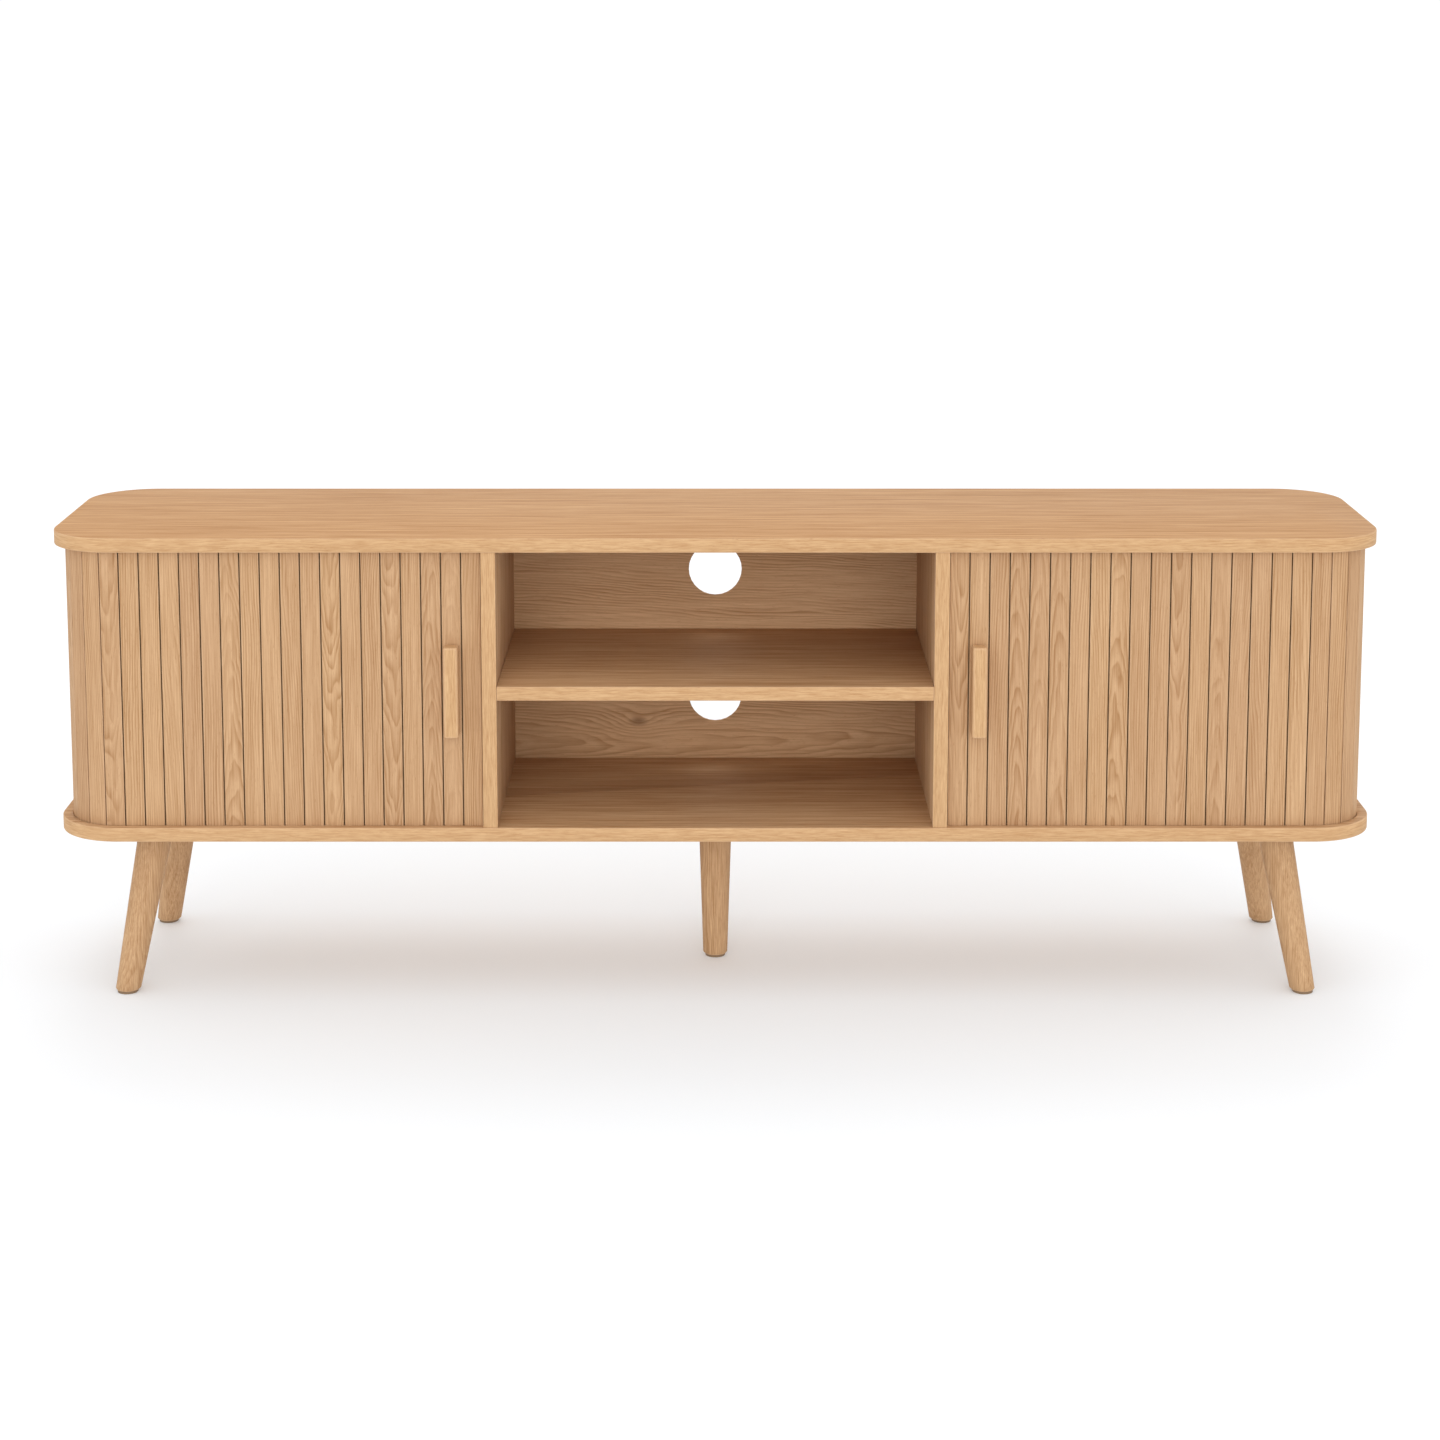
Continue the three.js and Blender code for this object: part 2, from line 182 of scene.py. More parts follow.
def soft_sun(name, strength, spread, height):
    """A distant light. height is its angle up from the floor in front, in degrees: 90 is overhead
    and more is behind."""
    data = bpy.data.lights.new(name, "SUN")
    data.energy = strength
    data.angle = math.radians(spread)
    made = bpy.data.objects.new(name, data)
    made.rotation_euler = (math.radians(90 - height), 0, 0)
    bpy.context.collection.objects.link(made)


soft_sun("front_fill", **FRONT_LIGHT)
soft_sun("overhead", **TOP_LIGHT)
soft_sun("behind", **REAR_LIGHT)
print("floor", FLOOR_SIZE, "m wide, sky light", SKY_LIGHT)

# %% [markdown]
# ## Oak
# Oak shows growth rings, which a saw cuts into straight lines or tall arches, and between them fine
# fibres and short dark pores. All of it runs along the grain, so every wooden piece carries its own
# grain coordinates, `wood_at`: metres along the grain, across it, and into the wood. The rings are
# circles round the heart of an imagined tree that tapers, and the piece lies somewhere in it. That
# gives arches, straight grain and end grain from one rule. A second number, `tone`, makes one piece
# a little darker than the next, and a third, `taper`, says how fast the tree it came from narrows.
# The finish is a thin satin lacquer.

# %% A helper for patterns
NOISE = (0.3, 0.7)  # most of Blender's noise lies between these


def sized_noise(tree, place, length, width, detail=2.0, roughness=0.55):
    """Smooth noise of a real size: its length along the first axis and its width along the others."""
    scale = (1 / length, 1 / width, 1 / width)
    scaled = add_node(tree, VECTORS, [place, scale], operation="MULTIPLY")
    inputs = {"Vector": scaled, "Scale": 1.0, "Detail": detail, "Roughness": roughness}
    return add_node(tree, "ShaderNodeTexNoise", inputs)


print("patterns are cut from noise between", *NOISE)

# %% [markdown]
# ### Growth rings
# The distance from the heart of the tree, divided by the width of a ring, counts the rings, and the
# part after the decimal point says how far through its year the wood at that point is. In a real
# tree the heart wanders, rings ripple, and arches on a flat board come at uneven distances. Wood
# also flows round a knot, so the rings are pushed outwards there.

# %% Count the rings
# Each size is a length along the grain and a width across it.
WANDER, WANDER_DEPTH = (300 * MM, 50 * MM), 10 * MM
RIPPLE, RIPPLE_DEPTH = (50 * MM, 10 * MM), 0.8 * MM
UNEVEN, UNEVEN_SHIFT = (80 * MM, 20 * MM), 160 * MM
KNOT_REACH = 90 * MM
KNOT_PUSH = 15 * MM


def distance_from(tree, wood_at, knot):
    """How far a point lies from the knot: 0 in its middle, 1 where it stops bending the rings."""
    offset = add_node(tree, VECTORS, [wood_at, knot], operation="SUBTRACT")
    reach = (1 / KNOT_REACH, 2 / KNOT_REACH, 2 / KNOT_REACH)
    offset = add_node(tree, VECTORS, [offset, reach], operation="MULTIPLY")
    return add_node(tree, VECTORS, [offset], "Value", operation="LENGTH")


def ring_phase(tree, wood_at, taper, ring_width, from_knot):
    """Where a point lies in its growth ring, from 0, the early wood, to 1, the end of the year."""
    apart = add_node(tree, "ShaderNodeSeparateXYZ", [wood_at]).node.outputs
    wander = sized_noise(tree, wood_at, *WANDER)
    wander = add_node(tree, MATHS, [wander, WANDER_DEPTH], operation="MULTIPLY")
    ripple = sized_noise(tree, wood_at, *RIPPLE, 1.0)
    bend = add_node(tree, MATHS, [ripple, RIPPLE_DEPTH, wander], operation="MULTIPLY_ADD")
    across = add_node(tree, MATHS, [apart["Y"], bend], operation="ADD")
    inwards = add_node(tree, MATHS, [apart["Z"], apart["Z"]], operation="MULTIPLY")
    squares = add_node(tree, MATHS, [across, across, inwards], operation="MULTIPLY_ADD")
    radius = add_node(tree, MATHS, [squares], operation="SQRT")
    uneven = sized_noise(tree, wood_at, *UNEVEN, 2.0, 0.6)
    height = add_node(tree, MATHS, [uneven, UNEVEN_SHIFT, apart["X"]], operation="MULTIPLY_ADD")
    distance = add_node(tree, MATHS, [height, taper, radius], operation="MULTIPLY_ADD")
    distance = add_node(tree, MATHS, [distance, bend], operation="ADD")
    if from_knot:
        near = add_node(tree, RANGE, [from_knot, 0.0, 1.0, 1.0, 0.0])
        push = add_node(tree, MATHS, [near, 2.0], operation="POWER")
        distance = add_node(tree, MATHS, [push, KNOT_PUSH, distance], operation="MULTIPLY_ADD")
    count = add_node(tree, MATHS, [distance, ring_width], operation="DIVIDE")
    return add_node(tree, MATHS, [count], operation="FRACT")


print("the heart wanders", round(WANDER_DEPTH / MM), "mm in", round(WANDER[0] / MM), "mm")

# %% [markdown]
# ### Late wood and pores
# A ring darkens slowly towards the end of its year and stops at once. It is plainer in some places
# than in others. Oak's large pores crowd in the early wood, where a ring starts.

# %% Draw the late wood and the pores
RING_START, RING_PEAK = 0.25, 0.86  # when in the year the wood starts to darken and is darkest
PATCH, PATCH_NOISE = (250 * MM, 20 * MM), (0.36, 0.62)
PLAINEST = 0.25  # how strong the rings are where they are plainest
PORE = (7 * MM, 0.7 * MM)  # about twice as wide as real ones, so that they show
PORE_NOISE = (0.62, 0.74)  # only the peaks of the noise are pores
EARLY_WOOD_END = 0.6
LATE_PORES = 0.25  # how strong the few pores in the late wood are


def late_wood(tree, wood_at, phase):
    """How dark a growth ring makes the wood, from 0 to 1."""
    darker = add_node(tree, RANGE, [phase, RING_START, RING_PEAK])
    stop = add_node(tree, RANGE, [phase, RING_PEAK, 1.0, 1.0, 0.0])
    ring = add_node(tree, MATHS, [darker, stop], operation="MULTIPLY")
    patch = sized_noise(tree, wood_at, *PATCH)
    patch = add_node(tree, RANGE, [patch, *PATCH_NOISE, PLAINEST, 1.0])
    return add_node(tree, MATHS, [ring, patch], operation="MULTIPLY")


def pores(tree, wood_at, phase):
    """How strongly a pore shows: 0 beside it, and 1 in the middle of one in the early wood."""
    pore = sized_noise(tree, wood_at, *PORE, 1.0)
    pore = add_node(tree, RANGE, [pore, *PORE_NOISE])
    early = add_node(tree, RANGE, [phase, 0.0, EARLY_WOOD_END, 1.0, LATE_PORES])
    return add_node(tree, MATHS, [pore, early], operation="MULTIPLY")


print("pores", round(PORE[0] / MM), "mm long")

# %% [markdown]
# ### The finish
# Rings, fibres, streaks and pores each move the colour from that of the palest fibres to that of the
# darkest. Each piece then gets its own tone, and the narrow faces of rounded edges are painted a
# little paler and greyer: a painted highlight. Satin lacquer gives a soft, even sheen, and the pores
# stay open under it.

# %% Make an oak finish
FIBRE_WIDTH = 1.2 * MM  # real fibres are finer; this is as fine as a picture of the whole can show
FIBRE_LENGTH = 55 * MM
STREAK = (190 * MM, 6 * MM)
MEAN_RING = 0.22  # what the rings add on average, taken off again
PORE_DARKENING = 0.45
TONE_BRIGHTNESS = (0.955, 1.03)
TONE_HUE = (0.4986, 0.5013)  # 0.5 is no turn
KNOT_EYE = {"colour": "#6d4a2e", "edge": 0.15, "middle": 0.05, "strength": 0.6}
# painted highlight on the rounded edges: how much paler and greyer they are painted
HIGHLIGHT_VALUE, HIGHLIGHT_SATURATION = 1.09, 0.93
LACQUER_ROUGHNESS = (0.55, 0.67)
LACQUER_SPECULAR = 0.12
FIBRE_DEPTH, FIBRE_RELIEF = 0.05 * MM, 0.3


def own_tone(tree, colour, tone):
    """A piece's own colour: a little darker and redder at tone 0, lighter and yellower at tone 1."""
    brightness = add_node(tree, RANGE, [tone, 0.0, 1.0, *TONE_BRIGHTNESS])
    hue = add_node(tree, RANGE, [tone, 0.0, 1.0, *TONE_HUE])
    inputs = {"Color": colour, "Value": brightness, "Hue": hue}
    return add_node(tree, "ShaderNodeHueSaturation", inputs)


def oak(name, light, dark, ring_width, rings, fibres, streaks, length=FIBRE_LENGTH, knot=None):
    """Satin-lacquered oak. light and dark are the colours of its palest and darkest fibres; rings,
    fibres and streaks say how strongly each pattern moves the colour from one to the other. knot is
    where one knot lies, in the piece's own grain coordinates."""
    material, tree, shader = new_material(name)
    wood_at = add_node(tree, "ShaderNodeAttribute", output="Vector", attribute_name="wood_at")
    tone, taper, painted_highlight = (add_node(tree, "ShaderNodeAttribute", output="Fac", attribute_name=key)
                         for key in ("tone", "taper", "painted_highlight"))
    from_knot = distance_from(tree, wood_at, knot) if knot else None
    phase = ring_phase(tree, wood_at, taper, ring_width, from_knot)
    ring = late_wood(tree, wood_at, phase)
    pore = pores(tree, wood_at, phase)
    fibre = sized_noise(tree, wood_at, length, FIBRE_WIDTH, 3.0, 0.65)
    streak = sized_noise(tree, wood_at, *STREAK, 4.0, 0.7)

    amount = add_node(tree, MATHS, [ring, rings, 0.5 - MEAN_RING * rings], operation="MULTIPLY_ADD")
    for pattern, strength in ((fibre, fibres), (streak, streaks)):
        centred = add_node(tree, RANGE, [pattern, *NOISE, -0.5, 0.5])
        amount = add_node(tree, MATHS, [centred, strength, amount], operation="MULTIPLY_ADD")
    amount = add_node(tree, MATHS, [pore, PORE_DARKENING, amount], operation="MULTIPLY_ADD")
    inputs = {0: amount, 6: linear(light), 7: linear(dark)}
    colour = add_node(tree, "ShaderNodeMix", inputs, 2, data_type="RGBA")
    colour = own_tone(tree, colour, tone)
    if knot:
        inputs = [from_knot, KNOT_EYE["middle"], KNOT_EYE["edge"], KNOT_EYE["strength"], 0.0]
        eye = add_node(tree, RANGE, inputs)
        inputs = {0: eye, 6: colour, 7: linear(KNOT_EYE["colour"])}
        colour = add_node(tree, "ShaderNodeMix", inputs, 2, data_type="RGBA")
    # painted highlight: the narrow faces of the rounds are painted paler, varying with the fibres
    highlight_mask = add_node(tree, RANGE, [fibre, 0.3, 0.6, 0.3, 1.0])
    highlight_mask = add_node(tree, MATHS, [painted_highlight, highlight_mask], operation="MULTIPLY")
    inputs = {"Color": colour, "Value": HIGHLIGHT_VALUE, "Saturation": HIGHLIGHT_SATURATION, "Fac": highlight_mask}
    colour = add_node(tree, "ShaderNodeHueSaturation", inputs)
    tree.links.new(colour, shader.inputs["Base Color"])

    sheen = add_node(tree, RANGE, [fibre, *NOISE, *LACQUER_ROUGHNESS])
    tree.links.new(sheen, shader.inputs["Roughness"])
    shader.inputs["Specular IOR Level"].default_value = LACQUER_SPECULAR
    relief = add_node(tree, MATHS, [pore, -1.0, fibre], operation="MULTIPLY_ADD")
    inputs = {"Strength": FIBRE_RELIEF, "Distance": FIBRE_DEPTH, "Height": relief}
    tree.links.new(add_node(tree, "ShaderNodeBump", inputs), shader.inputs["Normal"])
    return material


print("fibres", round(FIBRE_WIDTH / MM, 1), "mm wide and", round(FIBRE_LENGTH / MM), "mm long")

# %% Make the oak finishes
KNOT_PLACE = (3.912, 0.018, 0.0195)
VENEER = (7 * MM, 0.3, 0.5, 0.8)
# inner, wall and back are paler copies of the top's veneer: painted light that lifts the shade inside the
# cabinet
FINISH = {
    "veneer": oak("oak_veneer_lacquered", "#cca276", "#a27347", *VENEER),
    "inner": oak("oak_veneer_inside_painted_paler", "#d0ab84", "#a67a50", *VENEER),
    "wall": oak("oak_veneer_walls_painted_paler", "#d5b491", "#aa8158", *VENEER),
    "lipping": oak("oak_lipping_lacquered", "#d4af84", "#b0855b", 2.0 * MM, 0.1, 0.7, 0.2, 18 * MM),
    "slat": oak("oak_slat_lacquered", "#cea983", "#a07750", 2.6 * MM, 0.5, 0.5, 0.3),
    "solid": oak("solid_oak_lacquered", "#ceaa83", "#a47c56", 2.4 * MM, 0.4, 0.7, 0.4, 30 * MM),
    "back": oak("oak_back_board_painted_paler", "#e0b991", "#aa8159", 3.4 * MM, 0.55, 0.4, 0.3, knot=KNOT_PLACE),
}
print("oak finishes:", sorted(FINISH))

# %% [markdown]
# ## Canvas, steel and nylon
# The slats are glued to a heavy cotton canvas; its plain weave has about ten threads a centimetre.
# Legs hang on black powder-coated plates, whose coat has a fine orange peel. Screws and bolts are
# zinc plated, shelf pins nickel plated, and the foot glides are moulded nylon with a faint grain.

# %% Make the other finishes
THREAD = 1.0 * MM
WAVE_SCALE = 2 * math.pi / 20 / THREAD  # at scale 1 a Wave texture repeats every 2 pi / 20 metres
CLOTH_CLOUD = 30 * MM  # how wide the faint clouds of colour are
PART_CLOUD = 12 * MM
THREAD_DEPTH, THREAD_RELIEF = 0.15 * MM, 0.5
GRAIN_DEPTH, GRAIN_RELIEF = 0.05 * MM, 0.25


def canvas_finish():
    """Undyed cotton canvas in a plain weave, a little darker with glue."""
    material, tree, shader = new_material("cotton_canvas")
    spot = add_node(tree, "ShaderNodeTexCoord", output="Object")
    inputs = {"Vector": spot, "Scale": WAVE_SCALE, "Distortion": 0.6, "Detail": 1.0}
    weave = [add_node(tree, "ShaderNodeTexWave", inputs, "Fac", wave_type="BANDS", bands_direction=way)
             for way in ("X", "Y", "Z")]
    level = add_node(tree, MATHS, weave[:2], operation="ADD")
    level = add_node(tree, MATHS, [level, weave[2]], operation="MULTIPLY")
    tint = sized_noise(tree, spot, CLOTH_CLOUD, CLOTH_CLOUD, 3.0)
    inputs = {0: tint, 6: linear("#8d7454"), 7: linear("#a58a66")}
    cloth = add_node(tree, "ShaderNodeMix", inputs, 2, data_type="RGBA")
    gap = add_node(tree, RANGE, [level, 0.0, 1.2, 0.35, 0.0])
    inputs = {0: gap, 6: cloth, 7: linear("#5f4a33")}
    cloth = add_node(tree, "ShaderNodeMix", inputs, 2, data_type="RGBA")
    tree.links.new(cloth, shader.inputs["Base Color"])
    shader.inputs["Roughness"].default_value = 0.9
    shader.inputs["Specular IOR Level"].default_value = 0.2
    inputs = {"Strength": THREAD_RELIEF, "Distance": THREAD_DEPTH, "Height": level}
    tree.links.new(add_node(tree, "ShaderNodeBump", inputs), shader.inputs["Normal"])
    return material


def fine_grained(name, colour, other, roughness, grain, metallic=0.0):
    """A plating, a coat or a moulding with faint clouds of colour and a fine surface texture."""
    material, tree, shader = new_material(name)
    spot = add_node(tree, "ShaderNodeTexCoord", output="Object")
    fine = sized_noise(tree, spot, grain, grain)
    cloudy = sized_noise(tree, spot, PART_CLOUD, PART_CLOUD, 3.0)
    inputs = {0: cloudy, 6: linear(colour), 7: linear(other)}
    tint = add_node(tree, "ShaderNodeMix", inputs, 2, data_type="RGBA")
    tree.links.new(tint, shader.inputs["Base Color"])
    gloss = add_node(tree, RANGE, [fine, *NOISE, roughness - 0.07, roughness + 0.1])
    tree.links.new(gloss, shader.inputs["Roughness"])
    shader.inputs["Metallic"].default_value = metallic
    inputs = {"Strength": GRAIN_RELIEF, "Distance": GRAIN_DEPTH, "Height": fine}
    tree.links.new(add_node(tree, "ShaderNodeBump", inputs), shader.inputs["Normal"])
    return material


FINISH["canvas"] = canvas_finish()
FINISH["powder_coat"] = fine_grained("black_powder_coat", "#252526", "#2e2e30", 0.5, 1.2 * MM)
FINISH["zinc"] = fine_grained("zinc_plate", "#b9bcc0", "#a7a9a6", 0.38, 0.8 * MM, metallic=1.0)
FINISH["nickel"] = fine_grained("nickel_plate", "#c6c2b8", "#b5afa2", 0.25, 0.6 * MM, metallic=1.0)
FINISH["nylon"] = fine_grained("moulded_nylon", "#8a7154", "#7a6248", 0.55, 0.9 * MM)
print("finishes:", len(FINISH))

# %% [markdown]
# ## From CAD board to finished board
# A CAD board has dead sharp edges, and real ones never do: the maker takes the edge off with a
# sanding block, and that small round is what catches the light. The CAD mesh is copied, its loose
# triangles are welded into whole faces, and a Bevel modifier rounds every edge. Then the grain is
# laid into the mesh as the `wood_at` attribute, and the narrow faces of the rounds are marked for a
# painted highlight. Where in its tree a piece lies is chosen, in metres, for the figure that it gives.

# %% Helpers for meshes
WELD = 0.002 * MM
FLAT = math.radians(0.5)
EDGE_ANGLE = math.radians(30)


def add_object(name, mesh):
    """A new object for a mesh, linked to the scene."""
    made = bpy.data.objects.new(name, mesh)
    bpy.context.collection.objects.link(made)
    return made


def settle(made):
    """Turns an object's modifiers into plain mesh."""
    bpy.context.view_layer.update()
    evaluated = made.evaluated_get(bpy.context.evaluated_depsgraph_get())
    mesh = bpy.data.meshes.new_from_object(evaluated)
    made.modifiers.clear()
    made.data = mesh
    return made


def built(name, build):
    """The object that a bmesh becomes."""
    mesh = bpy.data.meshes.new(name)
    build.to_mesh(mesh)
    build.free()
    return add_object(name, mesh)


def welded_copy(name, node):
    """A copy of a CAD node as an object with whole faces in place of loose triangles."""
    build = bmesh.new()
    build.from_mesh(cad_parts[node].data)
    bmesh.ops.remove_doubles(build, verts=build.verts, dist=WELD)
    bmesh.ops.dissolve_limit(build, angle_limit=FLAT, verts=build.verts, edges=build.edges)
    return built(name, build)


def round_edges(made, radius, segments=2):
    """Rounds every sharp edge and keeps the flats flat in the shading."""
    made.data.shade_smooth()
    bevel = made.modifiers.new("round", "BEVEL")
    bevel.width = radius
    bevel.segments = segments
    bevel.limit_method = "ANGLE"
    bevel.angle_limit = EDGE_ANGLE
    bevel.harden_normals = True
    return settle(made)


print("welding points within", WELD / MM, "mm")

# %% Helpers that lay the grain and place a piece
AXES = {"x": 0, "y": 1, "z": 2}
ROUND_FACE = 1 * MM  # faces that round an edge are narrower than this


def lay_grain(mesh, along, across, heart, tone, taper=0.03):
    """Stores wood_at, tone and taper. along and across are axis letters; heart is how far the piece
    lies from the heart of its tree: along, across and into the wood."""
    into = ({"x", "y", "z"} - {along, across}).pop()
    order = [AXES[letter] for letter in (along, across, into)]
    values = []
    for vertex in mesh.vertices:
        values.extend(vertex.co[axis] + shift for axis, shift in zip(order, heart))
    mesh.attributes.new("wood_at", "FLOAT_VECTOR", "POINT").data.foreach_set("vector", values)
    for name, value in (("tone", tone), ("taper", taper)):
        stored = mesh.attributes.new(name, "FLOAT", "POINT").data
        stored.foreach_set("value", [value] * len(stored))


def mark_painted_highlight(mesh):
    """Stores the painted highlight mask: 1 on the narrow faces that round an edge."""
    painted_highlight = mesh.attributes.new("painted_highlight", "FLOAT", "FACE")
    for polygon in mesh.polygons:
        points = [mesh.vertices[v].co for v in polygon.vertices]
        longest = max((a - b).length for a, b in zip(points, points[1:] + points[:1]))
        painted_highlight.data[polygon.index].value = float(polygon.area < ROUND_FACE * longest)


def place(made, body, slot, *nodes):
    """Says what the piece moves with and which CAD nodes it replaces. slot, the finish it stands for, is
    not used.
    """
    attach(made, body)
    if nodes:
        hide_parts(*nodes)
    return made


print("faces narrower than", ROUND_FACE / MM, "mm are rounds")

# %% [markdown]
# ## Top, bottom, walls and shelves
# The boards are particle board under oak veneer. The veneer runs the length of each flat board and
# up each wall. A strip of oak, the lipping, covers the edge that shows: all round the top and the
# bottom, and the front edge of walls and shelves. Its grain follows the edge and it is a little
# lighter, so its faces get a finish of their own.

# %% Helpers for boards
EDGE_ROUND = 0.9 * MM
INNER_ROUND = 0.5 * MM


def add_lipping(mesh, is_lipped):
    """Gives the faces that is_lipped picks the lipping's finish."""
    mesh.materials.append(FINISH["lipping"])
    for polygon in mesh.polygons:
        if is_lipped(polygon):
            polygon.material_index = 1


def finish_board(node, finish, slot, edge, along, across, heart, tone, taper=0.01, lipped=None):
    """The finished copy of one CAD board."""
    made = round_edges(welded_copy(f"{node}_wood", node), edge)
    lay_grain(made.data, along, across, heart, tone, taper)
    mark_painted_highlight(made.data)
    made.data.materials.clear()
    made.data.materials.append(FINISH[finish])
    if lipped:
        add_lipping(made.data, lipped)
    return place(made, "cabinet", slot, node)


def faces_front(polygon):
    """Picks faces that look to the front, with their rounds."""
    return polygon.normal.y < -0.4


print("edges rounded by", EDGE_ROUND / MM, "and", INNER_ROUND / MM, "mm")

# %% [markdown]
# ### Lipping that runs round the corners
# A lipping is bent round the panel, so its grain follows the edge: how far along the grain a point
# lies is how far it lies round the edge. The veneer meets the lipping in a line, so the two need
# different grain at the same vertex. That is why `wood_at` is stored here for each face corner.

# %% Helpers for the lipping
CORNER = 70 * MM  # the round corners of the top and bottom
LIP_REACH = 1.5 * MM  # how far in from the edge the rounds of the lipping reach
NEARLY_LEVEL = 0.95  # a face that looks further up or down than this is veneer
LIP_HEART = (100 * MM, 50 * MM)  # where in its tree the lipping lies


def run_round(x, y, high):
    """How far round a board's edge a point lies, counted from the middle of the front."""
    straight_x, straight_y = high.x - CORNER, high.y - CORNER
    beyond_x, beyond_y = max(abs(x) - straight_x, 0.0), max(abs(y) - straight_y, 0.0)
    run = min(abs(x), straight_x) + CORNER * math.atan2(beyond_x, beyond_y)
    if y > straight_y:
        run = 2 * (straight_x + straight_y) + CORNER * math.pi - run
    else:
        run += max(y + straight_y, 0.0)
    return math.copysign(run, x)


def lip_all_round(mesh, low, high):
    """Gives the edge of a whole board the lipping's finish, with its grain following the edge."""
    mesh.materials.append(FINISH["lipping"])
    old = [v.vector.copy() for v in mesh.attributes["wood_at"].data]
    mesh.attributes.remove(mesh.attributes["wood_at"])
    grain = mesh.attributes.new("wood_at", "FLOAT_VECTOR", "CORNER").data
    thickness = high.z - low.z
    for polygon in mesh.polygons:
        points = [mesh.vertices[v].co for v in polygon.vertices]
        bottom, top = min(p.z for p in points), max(p.z for p in points)
        upright = top - bottom > thickness / 2
        on_round = min(high.z - bottom, top - low.z) < ROUND_FACE
        at_edge = (abs(polygon.center.x) > high.x - CORNER - LIP_REACH
                   or abs(polygon.center.y) > high.y - LIP_REACH)
        lipped = at_edge and abs(polygon.normal.z) < NEARLY_LEVEL and (upright or on_round)
        polygon.material_index = int(lipped)
        for corner, vertex, point in zip(polygon.loop_indices, polygon.vertices, points):
            run = run_round(point.x, point.y, high)
            at_lipping = (run, point.z + LIP_HEART[0], LIP_HEART[1])
            grain[corner].vector = at_lipping if lipped else old[vertex]


print("the lipping runs", round(run_round(0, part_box("top_panel")[1].y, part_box("top_panel")[1]), 2),
      "m from the middle of the front to the middle of the back")

# %% Make the boards
for index, (node, finish) in enumerate((("top_panel", "veneer"), ("bottom_panel", "inner"))):
    low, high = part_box(node)
    heart = (0.3 + index, 0.31, 0.02 - low.z)
    made = finish_board(node, finish, "oak_board", EDGE_ROUND, "x", "y", heart, 0.5, 0.004)
    lip_all_round(made.data, low, high)
finish_board("centre_shelf", "inner", "oak_board", EDGE_ROUND, "x", "y", (2.1, 0.13, -0.3), 0.45,
             lipped=faces_front)
heart = (4.0, -0.215, 0.018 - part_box("back_panel")[0].y)
finish_board("back_panel", "back", "oak_back", INNER_ROUND, "x", "z", heart, 0.45, 0.05)
for side_name, side in SIDES:
    heart = (5.0 + side, 0.06, 0.02)
    finish_board(f"{side_name}_divider", "wall", "oak_board", INNER_ROUND, "z", "y", heart, 0.5,
                 lipped=faces_front)
    finish_board(f"{side_name}_end_panel", "wall", "oak_board", INNER_ROUND, "z", "y", heart, 0.4)
    finish_board(f"{side_name}_shelf", "inner", "oak_board", INNER_ROUND, "x", "y",
                 (7.0 + side, 0.12, -0.3), 0.5, lipped=faces_front)
    finish_board(f"{side_name}_pocket_spacer", "solid", "oak_board", INNER_ROUND, "z", "x", heart, 0.5)
    finish_board(f"{side_name}_rear_cover", "inner", "oak_back", INNER_ROUND, "x", "z",
                 (9.0 + side, -0.2, -0.1), 0.5, 0.05)

# %% [markdown]
# ## The line of the slats
# A tambour door is a row of slats glued to canvas. Its ends run in a groove that follows the edge
# of the boards, so the whole door can be described by one line, seen from above: straight along
# the front, round the corner, along the end, round the back corner and straight behind the back.
# Slats are counted from the divider, and each takes one pitch of that line.

# %% Measure the line
board_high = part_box("top_panel")[1]
rail_low, rail_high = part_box("right_lead_rail")
grip_low, grip_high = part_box("right_grip_slat")
side_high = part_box("right_side_curtain")[1]
SLAT_WIDTH = rail_high.x - rail_low.x
PITCH = (grip_low.x + grip_high.x - rail_low.x - rail_high.x) / 2
GROOVE = PITCH - SLAT_WIDTH
SLAT_LOW, SLAT_HIGH = rail_low.z, rail_high.z
SLAT_THICKNESS = 6 * MM
CURTAIN_THICKNESS = grip_high.y - grip_low.y
FACE_RADIUS = CORNER - (board_high.x - side_high.x)
BEND_X = board_high.x - CORNER
BEND_Y = -rail_low.y - FACE_RADIUS
TRACK_START = rail_low.x - GROOVE / 2
FRONT_RUN = BEND_X - TRACK_START
BEND_RUN = FACE_RADIUS * math.pi / 2
SIDE_RUN = 2 * BEND_Y


def track_point(side, u, inset=0.0):
    """The point a distance u along the face of the slats, moved inwards by inset."""
    radius = FACE_RADIUS - inset
    if u <= FRONT_RUN:
        x, y = TRACK_START + u, -BEND_Y - radius
    elif u <= FRONT_RUN + BEND_RUN:
        angle = (u - FRONT_RUN) / FACE_RADIUS
        x, y = BEND_X + radius * math.sin(angle), -BEND_Y - radius * math.cos(angle)
    elif u <= FRONT_RUN + BEND_RUN + SIDE_RUN:
        x, y = BEND_X + radius, -BEND_Y + (u - FRONT_RUN - BEND_RUN)
    elif u <= FRONT_RUN + 2 * BEND_RUN + SIDE_RUN:
        angle = (u - FRONT_RUN - BEND_RUN - SIDE_RUN) / FACE_RADIUS
        x, y = BEND_X + radius * math.cos(angle), BEND_Y + radius * math.sin(angle)
    else:
        x, y = BEND_X - (u - FRONT_RUN - 2 * BEND_RUN - SIDE_RUN), BEND_Y + radius
    return Vector((side * x, y, 0))


